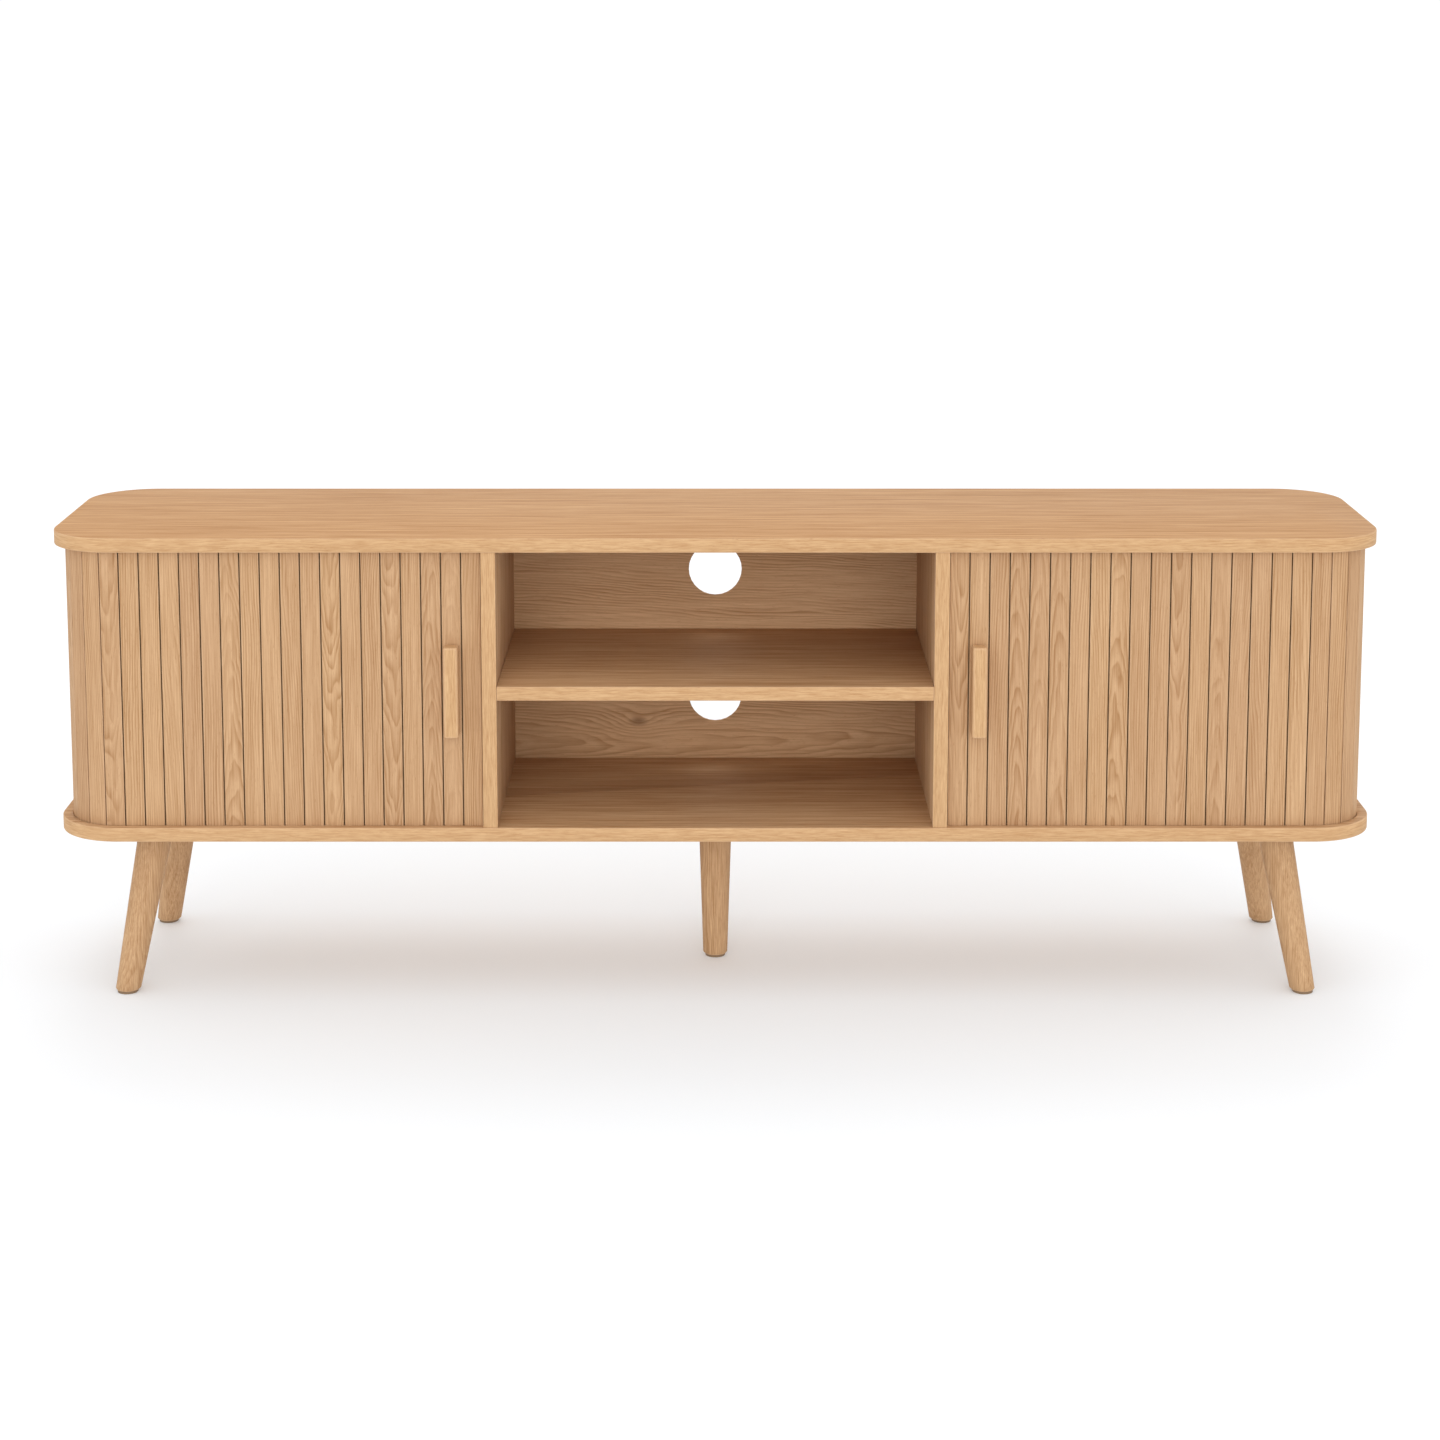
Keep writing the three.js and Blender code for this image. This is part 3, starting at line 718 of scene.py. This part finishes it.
BEND_END = FRONT_RUN + BEND_RUN
SIDE_END = BEND_END + SIDE_RUN
LAST_FRONT = int(FRONT_RUN / PITCH)
LAST_FRONT_BEND = math.ceil(BEND_END / PITCH)
LAST_SIDE = int(SIDE_END / PITCH)
LAST_REAR_BEND = math.ceil((SIDE_END + BEND_RUN) / PITCH)
LAST_SLAT = LAST_REAR_BEND + 2
print("pitch", round(PITCH / MM, 2), "mm; slats to", LAST_FRONT, LAST_FRONT_BEND, LAST_SIDE, LAST_SLAT)

# %% [markdown]
# ## Running a Geometry Nodes tree
# A tree is a recipe with named inputs. It runs as a modifier, and each input is set by its socket's
# identifier before the object is first evaluated. What comes out is copied as a plain mesh, so the
# object that only carried the tree can go.

# %% Helpers for Geometry Nodes
SAME_PLACE = 0.01 * MM  # points nearer than this are merged


def new_tree(name, shape_in, sizes, counts, shape_out):
    """A Geometry Nodes tree and the sockets of its named inputs."""
    tree = bpy.data.node_groups.new(name, "GeometryNodeTree")
    kinds = {shape_in: "Geometry"} | {size: "Float" for size in sizes}
    kinds |= {count: "Int" for count in counts} | {"Finish": "Material"}
    for key, kind in kinds.items():
        tree.interface.new_socket(key, in_out="INPUT", socket_type=f"NodeSocket{kind}")
    tree.interface.new_socket(shape_out, in_out="OUTPUT", socket_type="NodeSocketGeometry")
    return tree, add_node(tree, "NodeGroupInput").node.outputs


def close_below(tree, risen, flat):
    """A solid from what was extruded and the flat face it rose from, which is turned over."""
    under = add_node(tree, "GeometryNodeFlipFaces", [flat])
    whole = add_node(tree, "GeometryNodeJoinGeometry", [risen])
    tree.links.new(under, whole.node.inputs[0])
    inputs = {"Geometry": whole, "Distance": SAME_PLACE}
    return add_node(tree, "GeometryNodeMergeByDistance", inputs)


def end_tree(tree, instances, finish):
    """Makes the instances real, gives them their finish and ends the tree."""
    solid = add_node(tree, "GeometryNodeRealizeInstances", [instances])
    painted = add_node(tree, "GeometryNodeSetMaterial", {"Geometry": solid, "Material": finish})
    add_node(tree, "NodeGroupOutput", [painted])


def run_tree(made, tree, values):
    """What a tree makes of an object, as a plain mesh. The object itself is removed."""
    modifier = made.modifiers.new("nodes", "NODES")
    modifier.node_group = tree
    for item in tree.interface.items_tree:
        if item.item_type == "SOCKET" and item.in_out == "INPUT" and item.name in values:
            modifier[item.identifier] = values[item.name]
    bpy.context.view_layer.update()
    evaluated = made.evaluated_get(bpy.context.evaluated_depsgraph_get())
    mesh = bpy.data.meshes.new_from_object(evaluated)
    bpy.data.objects.remove(made)
    return mesh


print("points within", SAME_PLACE / MM, "mm are merged")

# %% [markdown]
# ## Slats by Geometry Nodes
# Nearly forty slats a side, all alike, standing in a row on a line: that is what Geometry Nodes are
# for. The tree draws one slat from its section, a trapezium with rounded corners that is narrower
# at the back so that the door can bend. It then samples the line where each slat's two edges lie,
# puts the slat on the chord between them and turns it to match.

# %% Draw one slat and find where each one stands
SLAT_EDGE_ROUND = 0.5 * MM
SLAT_BACK_BEVEL = 1.2 * MM
SLAT_SIZES = ("Pitch", "Width", "Thickness", "Back bevel", "Edge round", "Bottom", "Height", "Hand")
SLAT_COUNTS = ("First", "Count", "Seed")


def one_slat(tree, given):
    """One slat, its face on y = 0 and its back towards +y, with its own grain coordinates."""
    inputs = [given["Back bevel"], -2.0, given["Width"]]
    narrow = add_node(tree, MATHS, inputs, operation="MULTIPLY_ADD")
    inputs = {"Height": given["Thickness"], "Bottom Width": given["Width"], "Top Width": narrow,
              "Offset": 0.0}
    section = add_node(tree, "GeometryNodeCurvePrimitiveQuadrilateral", inputs, mode="TRAPEZOID")
    inputs = {"Curve": section, "Radius": given["Edge round"], "Count": 3}
    section = add_node(tree, "GeometryNodeFilletCurve", inputs, mode="POLY")
    flat = add_node(tree, "GeometryNodeFillCurve", [section], mode="NGONS")
    upwards = add_node(tree, "ShaderNodeCombineXYZ", {"Z": given["Height"]})
    inputs = {"Mesh": flat, "Offset": upwards, "Offset Scale": 1.0, "Individual": False}
    risen = add_node(tree, "GeometryNodeExtrudeMesh", inputs, "Mesh", mode="FACES")
    slat = close_below(tree, risen, flat)
    half_back = add_node(tree, MATHS, [given["Thickness"], 0.5], operation="MULTIPLY")
    shift = add_node(tree, "ShaderNodeCombineXYZ", {"Y": half_back})
    slat = add_node(tree, "GeometryNodeSetPosition", {"Geometry": slat, "Offset": shift})
    spot = add_node(tree, "GeometryNodeInputPosition")
    apart = add_node(tree, "ShaderNodeSeparateXYZ", [spot]).node.outputs
    grain = add_node(tree, "ShaderNodeCombineXYZ", [apart["Z"], apart["X"], apart["Y"]])
    inputs = {"Geometry": slat, "Name": "wood_at", "Value": grain}
    return add_node(tree, "GeometryNodeStoreNamedAttribute", inputs, data_type="FLOAT_VECTOR",
                    domain="POINT")


def slat_places(tree, given):
    """The number of each slat, its point and its turn: the chord between its edges on the line."""
    row = add_node(tree, "GeometryNodePoints", {"Count": given["Count"]})
    index = add_node(tree, "GeometryNodeInputIndex")
    order = add_node(tree, MATHS, [index, given["First"]], operation="ADD")
    middle = add_node(tree, MATHS, [order, 0.5], operation="SUBTRACT")
    middle = add_node(tree, MATHS, [middle, given["Pitch"]], operation="MULTIPLY")
    ends = []
    for half in (-0.5, 0.5):
        length = add_node(tree, MATHS, [given["Width"], half, middle], operation="MULTIPLY_ADD")
        inputs = {"Curves": given["Line"], "Length": length}
        ends.append(add_node(tree, "GeometryNodeSampleCurve", inputs, "Position", mode="LENGTH",
                             use_all_curves=True))
    total = add_node(tree, VECTORS, ends, operation="ADD")
    halved = add_node(tree, VECTORS, {0: total, "Scale": 0.5}, operation="SCALE")
    foot = add_node(tree, "ShaderNodeCombineXYZ", {"Z": given["Bottom"]})
    stand = add_node(tree, VECTORS, [halved, foot], operation="ADD")
    row = add_node(tree, "GeometryNodeSetPosition", {"Geometry": row, "Position": stand})
    chord = add_node(tree, VECTORS, ends[::-1], operation="SUBTRACT")
    facing = add_node(tree, VECTORS, {0: chord, "Scale": given["Hand"]}, operation="SCALE")
    turn = add_node(tree, "FunctionNodeAlignRotationToVector", {"Vector": facing}, axis="X",
                    pivot_axis="Z")
    return order, row, turn


print("slat inputs:", len(SLAT_SIZES) + len(SLAT_COUNTS))

# %% [markdown]
# ### Every slat from its own place in the tree
# A slat cut over the heart of the tree shows arches, which point up or down as the slat was turned;
# one cut beside the heart shows straight lines. Each slat gets a random place and a random tone, so
# no two look alike. Random Value gives the same slat the same numbers each time, because they depend
# only on its number and the seed.

# %% Build the slat tree
ARCHED_SHARE = 0.3
OVER_HEART = ((0.0, -0.009, 0.005), (40.0, -0.002, 0.014))  # lowest and highest place, in metres
BESIDE_HEART = ((0.0, 0.024, -0.020), (40.0, 0.110, 0.020))
ARCHED_TAPER = (0.045, 0.08)
STRAIGHT_TAPER = (-0.03, 0.03)


def slat_grain(tree, given, order):
    """The random values of each slat: its place in its tree, its tone and its tree's taper."""
    def chance(low, high, step):
        """A random number for each slat, or a random place, and another one for each step."""
        seed = add_node(tree, MATHS, [given["Seed"], step], operation="ADD")
        if isinstance(low, tuple):
            inputs = {0: low, 1: high, "ID": order, "Seed": seed}
            return add_node(tree, "FunctionNodeRandomValue", inputs, 0, data_type="FLOAT_VECTOR")
        inputs = {2: low, 3: high, "ID": order, "Seed": seed}
        return add_node(tree, "FunctionNodeRandomValue", inputs, 1, data_type="FLOAT")

    beside = add_node(tree, MATHS, [chance(0.0, 1.0, 3), ARCHED_SHARE], operation="GREATER_THAN")
    inputs = {0: beside, 4: chance(*OVER_HEART, 0), 5: chance(*BESIDE_HEART, 1)}
    heart = add_node(tree, "ShaderNodeMix", inputs, 1, data_type="VECTOR")
    turned = add_node(tree, MATHS, [chance(-1.0, 1.0, 5)], operation="SIGN")
    steep = add_node(tree, MATHS, [chance(*ARCHED_TAPER, 7), turned], operation="MULTIPLY")
    inputs = {0: beside, 2: steep, 3: chance(*STRAIGHT_TAPER, 9)}
    taper = add_node(tree, "ShaderNodeMix", inputs, 0, data_type="FLOAT")
    return {"heart": heart, "tone": chance(0.0, 1.0, 11), "taper": taper}


def build_slat_tree():
    """The Geometry Nodes tree that stands slats along a curve."""
    tree, given = new_tree("tambour_slats", "Line", SLAT_SIZES, SLAT_COUNTS, "Slats")
    slat = one_slat(tree, given)
    order, row, turn = slat_places(tree, given)
    inputs = {"Points": row, "Instance": slat, "Rotation": turn}
    slats = add_node(tree, "GeometryNodeInstanceOnPoints", inputs)
    for name, value in slat_grain(tree, given, order).items():
        kind = "FLOAT_VECTOR" if name == "heart" else "FLOAT"
        slats = add_node(tree, "GeometryNodeStoreNamedAttribute",
                         {"Geometry": slats, "Name": name, "Value": value}, data_type=kind,
                         domain="INSTANCE")
    slats = add_node(tree, "GeometryNodeRealizeInstances", [slats])
    read = [add_node(tree, "GeometryNodeInputNamedAttribute", {"Name": name}, data_type="FLOAT_VECTOR")
            for name in ("wood_at", "heart")]
    moved = add_node(tree, VECTORS, read, operation="ADD")
    inputs = {"Geometry": slats, "Name": "wood_at", "Value": moved}
    slats = add_node(tree, "GeometryNodeStoreNamedAttribute", inputs, data_type="FLOAT_VECTOR",
                     domain="POINT")
    end_tree(tree, slats, given["Finish"])
    return tree


SLAT_TREE = build_slat_tree()
print("slat tree:", len(SLAT_TREE.nodes), "nodes")

# %% Helpers that stand slats along the line
BEND_STEPS = 24
SLAT_SEED = 5
SLAT_SHARP = math.radians(50)


def track_curve(name, side):
    """The line as a curve object, drawn finely round the bends."""
    stops = [0.0]
    for start in (FRONT_RUN, SIDE_END):
        stops += [start + BEND_RUN * i / BEND_STEPS for i in range(BEND_STEPS + 1)]
    stops.append(SIDE_END + BEND_RUN + FRONT_RUN)
    curve = bpy.data.curves.new(name, "CURVE")
    curve.dimensions = "3D"
    spline = curve.splines.new("POLY")
    spline.points.add(len(stops) - 1)
    for point, u in zip(spline.points, stops):
        point.co = (*track_point(side, u), 1)
    return curve


def stand_slats(name, side, first, last):
    """Slats first..last as one plain mesh."""
    mesh = run_tree(add_object(name, track_curve(name, side)), SLAT_TREE, {
        "Pitch": PITCH, "Width": SLAT_WIDTH, "Thickness": SLAT_THICKNESS,
        "Back bevel": SLAT_BACK_BEVEL, "Edge round": SLAT_EDGE_ROUND, "Bottom": SLAT_LOW,
        "Height": SLAT_HIGH - SLAT_LOW, "Hand": float(side), "First": first,
        "Count": last - first + 1, "Seed": SLAT_SEED + side, "Finish": FINISH["slat"],
    })
    build = bmesh.new()
    build.from_mesh(mesh)
    bmesh.ops.recalc_face_normals(build, faces=build.faces)
    build.to_mesh(mesh)
    build.free()
    mark_painted_highlight(mesh)
    mesh.attributes.remove(mesh.attributes["heart"])
    mesh.shade_smooth()
    mesh.set_sharp_from_angle(angle=SLAT_SHARP)
    slats = add_object(name, mesh)
    weigh = slats.modifiers.new("weigh", "WEIGHTED_NORMAL")
    weigh.keep_sharp = True
    return settle(slats)


print("slat sizes:", round(SLAT_WIDTH / MM, 2), "x", round(SLAT_THICKNESS / MM, 2), "mm")

# %% [markdown]
# ## The canvas
# The canvas is a thin strip behind the slats. It follows the same line, moved inwards by a slat's
# thickness, and a little more round the corners, where flat slats cut across the bend. It is made
# with bmesh: a small rectangle for every step along the line, joined to the one before it.

# %% A helper that hangs the canvas
CANVAS_JOIN = 0.15 * MM  # half the gap between two strips
CANVAS_MARGIN = 6 * MM  # the canvas stops short of the ends of the slats
CANVAS_STEP = 3 * MM


def hang_canvas(name, side, first, last):
    """The strip of canvas behind slats first..last."""
    start, end = (first - 1) * PITCH + CANVAS_JOIN, last * PITCH - CANVAS_JOIN
    steps = max(2, int((end - start) / CANVAS_STEP))
    sag = FACE_RADIUS * (1 - math.cos(SLAT_WIDTH / 2 / FACE_RADIUS))
    straight = last <= LAST_FRONT or first > LAST_REAR_BEND or LAST_FRONT_BEND < first <= LAST_SIDE
    front = SLAT_THICKNESS + (0.0 if straight else sag)
    back = front + CURTAIN_THICKNESS - SLAT_THICKNESS
    low, high = SLAT_LOW + CANVAS_MARGIN, SLAT_HIGH - CANVAS_MARGIN
    build = bmesh.new()
    rings = []
    for i in range(steps + 1):
        u = start + (end - start) * i / steps
        rings.append([build.verts.new(track_point(side, u, inset) + Vector((0, 0, z)))
                      for inset, z in ((front, low), (back, low), (back, high), (front, high))])
    for one, two in zip(rings, rings[1:]):
        for i in range(4):
            build.faces.new((one[i], one[(i + 1) % 4], two[(i + 1) % 4], two[i]))
    build.faces.new(rings[0])
    build.faces.new(rings[-1])
    bmesh.ops.recalc_face_normals(build, faces=build.faces)
    canvas = built(name, build)
    canvas.data.materials.append(FINISH["canvas"])
    return canvas


print("canvas", round((CURTAIN_THICKNESS - SLAT_THICKNESS) / MM, 2), "mm thick")

# %% [markdown]
# ## The doors and the slats that stay
# The first two slats ride on the door, with its rail and handle. The rest of the front gets a mesh of
# its own, so that it can squash towards the corner as the door slides, as if its slats were going
# round. The slats of the corners and the end stay where they are, and the last two ride on the tail
# behind the back.

# %% Hang the doors
STRETCHES = (
    ("front_curtain", 3, LAST_FRONT), ("front_corner_curtain", LAST_FRONT + 1, LAST_FRONT_BEND),
    ("side_curtain", LAST_FRONT_BEND + 1, LAST_SIDE),
    ("rear_corner_curtain", LAST_SIDE + 1, LAST_REAR_BEND),
)
for side_name, side in SIDES:
    for stretch, first, last in STRETCHES:
        node = f"{side_name}_{stretch}"
        slats = place(stand_slats(f"{node}_slats", side, first, last), "cabinet", "oak_slat", node)
        canvas = place(hang_canvas(f"{node}_canvas", side, first, last), "cabinet", "oak_slat")
        if stretch == "front_curtain":
            for piece in (slats, canvas):
                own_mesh(piece)
    door = f"{side_name}_door"
    place(stand_slats(f"{door}_slats", side, 1, 2), door, "oak_slat",
          f"{side_name}_lead_rail", f"{side_name}_grip_slat")
    place(hang_canvas(f"{door}_canvas", side, 1, 2), door, "oak_slat")
    tail = (LAST_REAR_BEND + 1, LAST_SLAT)
    place(stand_slats(f"{side_name}_tail_wood", side, *tail), f"{side_name}_tail", "oak_slat",
          f"{side_name}_tail_slats")
    place(hang_canvas(f"{side_name}_tail_canvas", side, *tail), f"{side_name}_tail", "oak_slat")
print("slats a side:", LAST_SLAT)

# %% [markdown]
# ## Lead rail and handle
# A row of slats is floppy, so the first one is stiffened by a rail glued behind it; that is the
# edge a hand pulls against. The handle is a plain oak bar, milled with softly rounded edges and
# screwed on from behind through the second slat.

# %% Make the rails and handles
RAIL_MARGIN = 5.7 * MM  # the stiffener stops short of both boards, the slat doesn't
GLUE_GAP = 0.1 * MM
RAIL_ROUND = 1 * MM
HANDLE_ROUND = 2.2 * MM


def bar(name, low, high, radius, segments=3):
    """A bar with rounded edges between two corners."""
    build = bmesh.new()
    bmesh.ops.create_cube(build, size=1.0)
    size, centre = Vector(high) - Vector(low), (Vector(high) + Vector(low)) / 2
    stretch = Matrix.Translation(centre) @ Matrix.Diagonal((*size, 1))
    bmesh.ops.transform(build, verts=build.verts, matrix=stretch)
    return round_edges(built(name, build), radius, segments)


for side_name, side in SIDES:
    low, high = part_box(f"{side_name}_lead_rail")
    low, high = low.copy(), high.copy()
    low.y += CURTAIN_THICKNESS + GLUE_GAP
    low.z += RAIL_MARGIN
    high.z -= RAIL_MARGIN
    rail = bar(f"{side_name}_lead_stiffener", low, high, RAIL_ROUND)
    lay_grain(rail.data, "z", "x", (1.0, 0.3 * side, 0.2), 0.4)
    mark_painted_highlight(rail.data)
    rail.data.materials.append(FINISH["solid"])
    place(rail, f"{side_name}_door", "oak_slat")

    low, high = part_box(f"{side_name}_handle")
    grip = bar(f"{side_name}_handle_bar", low, high, HANDLE_ROUND, 5)
    lay_grain(grip.data, "z", "x", (0.4 + side, 0.27 * side, 0.16), 0.75)
    mark_painted_highlight(grip.data)
    grip.data.materials.append(FINISH["lipping"])
    place(grip, f"{side_name}_door", "solid_oak", f"{side_name}_handle")
print("handles:", [round(v / MM, 1) for v in high - low], "mm")

# %% [markdown]
# ## Legs
# Each leg is turned on a lathe: a long taper with a small chamfer at the foot. In Blender the lathe
# is bmesh's spin: half the outline is drawn once and carried round. A corner leg is the same leg
# leaning outwards, so its rings are slid sideways as they go down, which keeps the top and the foot
# level. The grain runs down the leg.

# %% Helpers for turning
TURNING_STEPS = 64
CHAMFER = 1.3 * MM
TOP_ROUND = 0.4 * MM
FOOT_RADIUS = 13.4 * MM
TOP_RADIUS = 18.7 * MM
TAPER_RINGS = 12


def leg_outline(low, high):
    """Half the outline of a leg as (radius, height) pairs, from the middle of the foot upwards."""
    start, length = low + 1.15 * CHAMFER, high - low - 1.5 * CHAMFER
    outline = [(0, low), (FOOT_RADIUS - CHAMFER, low), (FOOT_RADIUS - 0.25 * MM, low + 0.85 * CHAMFER)]
    for i in range(TAPER_RINGS):
        share = i / TAPER_RINGS
        outline.append((FOOT_RADIUS + (TOP_RADIUS - FOOT_RADIUS) * share, start + length * share))
    return outline + [(TOP_RADIUS, high - TOP_ROUND), (TOP_RADIUS - TOP_ROUND, high), (0, high)]


def turn(outline):
    """A closed turned shape about the Z axis from pairs that start and end on it."""
    build = bmesh.new()
    points = [build.verts.new((radius, 0, z)) for radius, z in outline]
    edges = [build.edges.new(pair) for pair in zip(points, points[1:])]
    bmesh.ops.spin(build, geom=points + edges, cent=(0, 0, 0), axis=(0, 0, 1), angle=math.tau,
                   steps=TURNING_STEPS, use_merge=True)
    bmesh.ops.remove_doubles(build, verts=build.verts, dist=WELD)
    bmesh.ops.recalc_face_normals(build, faces=build.faces)
    return build


print("a leg tapers from", TOP_RADIUS * 2 / MM, "to", FOOT_RADIUS * 2 / MM, "mm")

# %% Turn the legs
# Each number is that leg's tone.
LEGS = {"centre": 0.55, "front_left": 0.45, "front_right": 0.6, "back_left": 0.35, "back_right": 0.5}
HIGHLIGHT_HEIGHT = 2.2 * CHAMFER
LEG_SHARP = math.radians(35)

for index, (place_name, tone) in enumerate(LEGS.items()):
    low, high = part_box(f"{place_name}_leg")
    plate_low, plate_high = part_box(f"{place_name}_leg_plate")
    glide_low, glide_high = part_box(f"{place_name}_foot_glide")
    top_centre, foot_centre = (plate_low + plate_high) / 2, (glide_low + glide_high) / 2
    glide_middle = glide_high.z / 2
    lean_x, lean_y = ((top_centre[axis] - foot_centre[axis]) / (high.z - glide_middle) for axis in (0, 1))
    build = turn(leg_outline(low.z, high.z))
    for vertex in build.verts:
        vertex.co.x += foot_centre.x + lean_x * (vertex.co.z - glide_middle)
        vertex.co.y += foot_centre.y + lean_y * (vertex.co.z - glide_middle)
    leg = built(f"{place_name}_leg_turned", build)
    mesh = leg.data
    heart = (3.0 * index, 0.03 - top_centre.x, 0.02 - top_centre.y)
    lay_grain(mesh, "z", "x", heart, tone)
    mesh.shade_smooth()
    mesh.set_sharp_from_angle(angle=LEG_SHARP)
    # painted highlight: the faces of the foot's chamfer are marked to be painted paler
    painted_highlight = mesh.attributes.new("painted_highlight", "FLOAT", "FACE")
    for polygon in mesh.polygons:
        painted_highlight.data[polygon.index].value = float(polygon.center.z < low.z + HIGHLIGHT_HEIGHT)
    mesh.materials.append(FINISH["solid"])
    place(leg, "cabinet", "solid_oak", f"{place_name}_leg")
print("legs:", len(LEGS))

# %% [markdown]
# ## Hardware
# Plates, glides, bolts and shelf pins already have the right shape in the CAD model. They are
# copied, given rounded edges and their own finish.

# %% Finish the hardware
PLATE_ROUND = 0.5 * MM
BOLT_ROUND = 0.4 * MM
GLIDE_ROUND = 0.6 * MM
PIN_ROUND = 0.4 * MM


def finish_part(node, finish, slot, edge):
    """A finished copy of a small CAD part."""
    made = round_edges(welded_copy(f"{node}_finished", node), edge)
    made.data.materials.clear()
    made.data.materials.append(FINISH[finish])
    return place(made, "cabinet", slot, node)


for place_name in LEGS:
    finish_part(f"{place_name}_leg_plate", "powder_coat", "black_plate", PLATE_ROUND)
    finish_part(f"{place_name}_leg_bolt", "zinc", "zinc_bolt", BOLT_ROUND)
    finish_part(f"{place_name}_foot_glide", "nylon", "nylon_glide", GLIDE_ROUND)
for side_name, side in SIDES:
    for end in ("front", "back"):
        for wall in ("inner", "outer"):
            finish_part(f"{side_name}_{end}_{wall}_shelf_pin", "nickel", "nickel_pin", PIN_ROUND)
print("hardware finished")

# %% [markdown]
# ## Screws by Geometry Nodes
# Each leg plate is held by four pan-head screws. One small tree puts a screw head on every point of
# a mesh: the head grows from a circle in steps, out for the side, in for the rounded rim, in again
# and back down for the recess that takes the driver.

# %% Build the screw tree
SCREW_SIZES = {"Head radius": 3.6 * MM, "Head height": 1.8 * MM, "Rim": 0.6 * MM, "Recess": 1.0 * MM}
RIM_SCALE, RECESS_SCALE, BOTTOM_SCALE = 0.84, 0.5, 0.9  # each of the ring before it
HEAD_SIDES = 18
LOOK_DOWN = math.pi


def build_screw_tree():
    """The Geometry Nodes tree that puts a screw head, looking down, on every point."""
    tree, given = new_tree("pan_head_screws", "Places", SCREW_SIZES, ("Seed",), "Screws")
    inputs = {"Vertices": HEAD_SIDES, "Radius": given["Head radius"]}
    disc = add_node(tree, "GeometryNodeMeshCircle", inputs, fill_type="NGON")
    side = add_node(tree, MATHS, [given["Head height"], given["Rim"]], operation="SUBTRACT")
    recess = add_node(tree, MATHS, [given["Recess"], -1.0], operation="MULTIPLY")
    head, top = disc, None
    for height, scale in ((side, 1.0), (given["Rim"], RIM_SCALE), (0.0, RECESS_SCALE),
                          (recess, BOTTOM_SCALE)):
        offset = add_node(tree, "ShaderNodeCombineXYZ", {"Z": height})
        inputs = {"Mesh": head, "Offset": offset, "Offset Scale": 1.0, "Individual": False}
        if top:
            inputs["Selection"] = top
        pushed = add_node(tree, "GeometryNodeExtrudeMesh", inputs, mode="FACES").node.outputs
        top = pushed["Top"]
        inputs = {"Geometry": pushed["Mesh"], "Selection": top, "Scale": scale}
        head = add_node(tree, "GeometryNodeScaleElements", inputs)
    screw = close_below(tree, head, disc)
    inputs = {"Min": (LOOK_DOWN, 0, 0), "Max": (LOOK_DOWN, 0, 1), "Seed": given["Seed"]}
    twist = add_node(tree, "FunctionNodeRandomValue", inputs, data_type="FLOAT_VECTOR")
    inputs = {"Points": given["Places"], "Instance": screw, "Rotation": twist}
    heads = add_node(tree, "GeometryNodeInstanceOnPoints", inputs)
    end_tree(tree, heads, given["Finish"])
    return tree


SCREW_TREE = build_screw_tree()
print("screw tree:", len(SCREW_TREE.nodes), "nodes")

# %% Screw the plates on
SCREW_FROM_EDGE = 8 * MM
SCREW_SEED = 3

places = []
for place_name in LEGS:
    low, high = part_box(f"{place_name}_leg_plate")
    for x in (low.x + SCREW_FROM_EDGE, high.x - SCREW_FROM_EDGE):
        places += [(x, y, low.z) for y in (low.y + SCREW_FROM_EDGE, high.y - SCREW_FROM_EDGE)]
points = bpy.data.meshes.new("screw_places")
points.from_pydata(places, [], [])
values = SCREW_SIZES | {"Seed": SCREW_SEED, "Finish": FINISH["zinc"]}
screws = add_object("leg_plate_screws", run_tree(add_object("screw_places", points), SCREW_TREE, values))
place(screws, "cabinet", "zinc_bolt")
print("screws:", len(places))
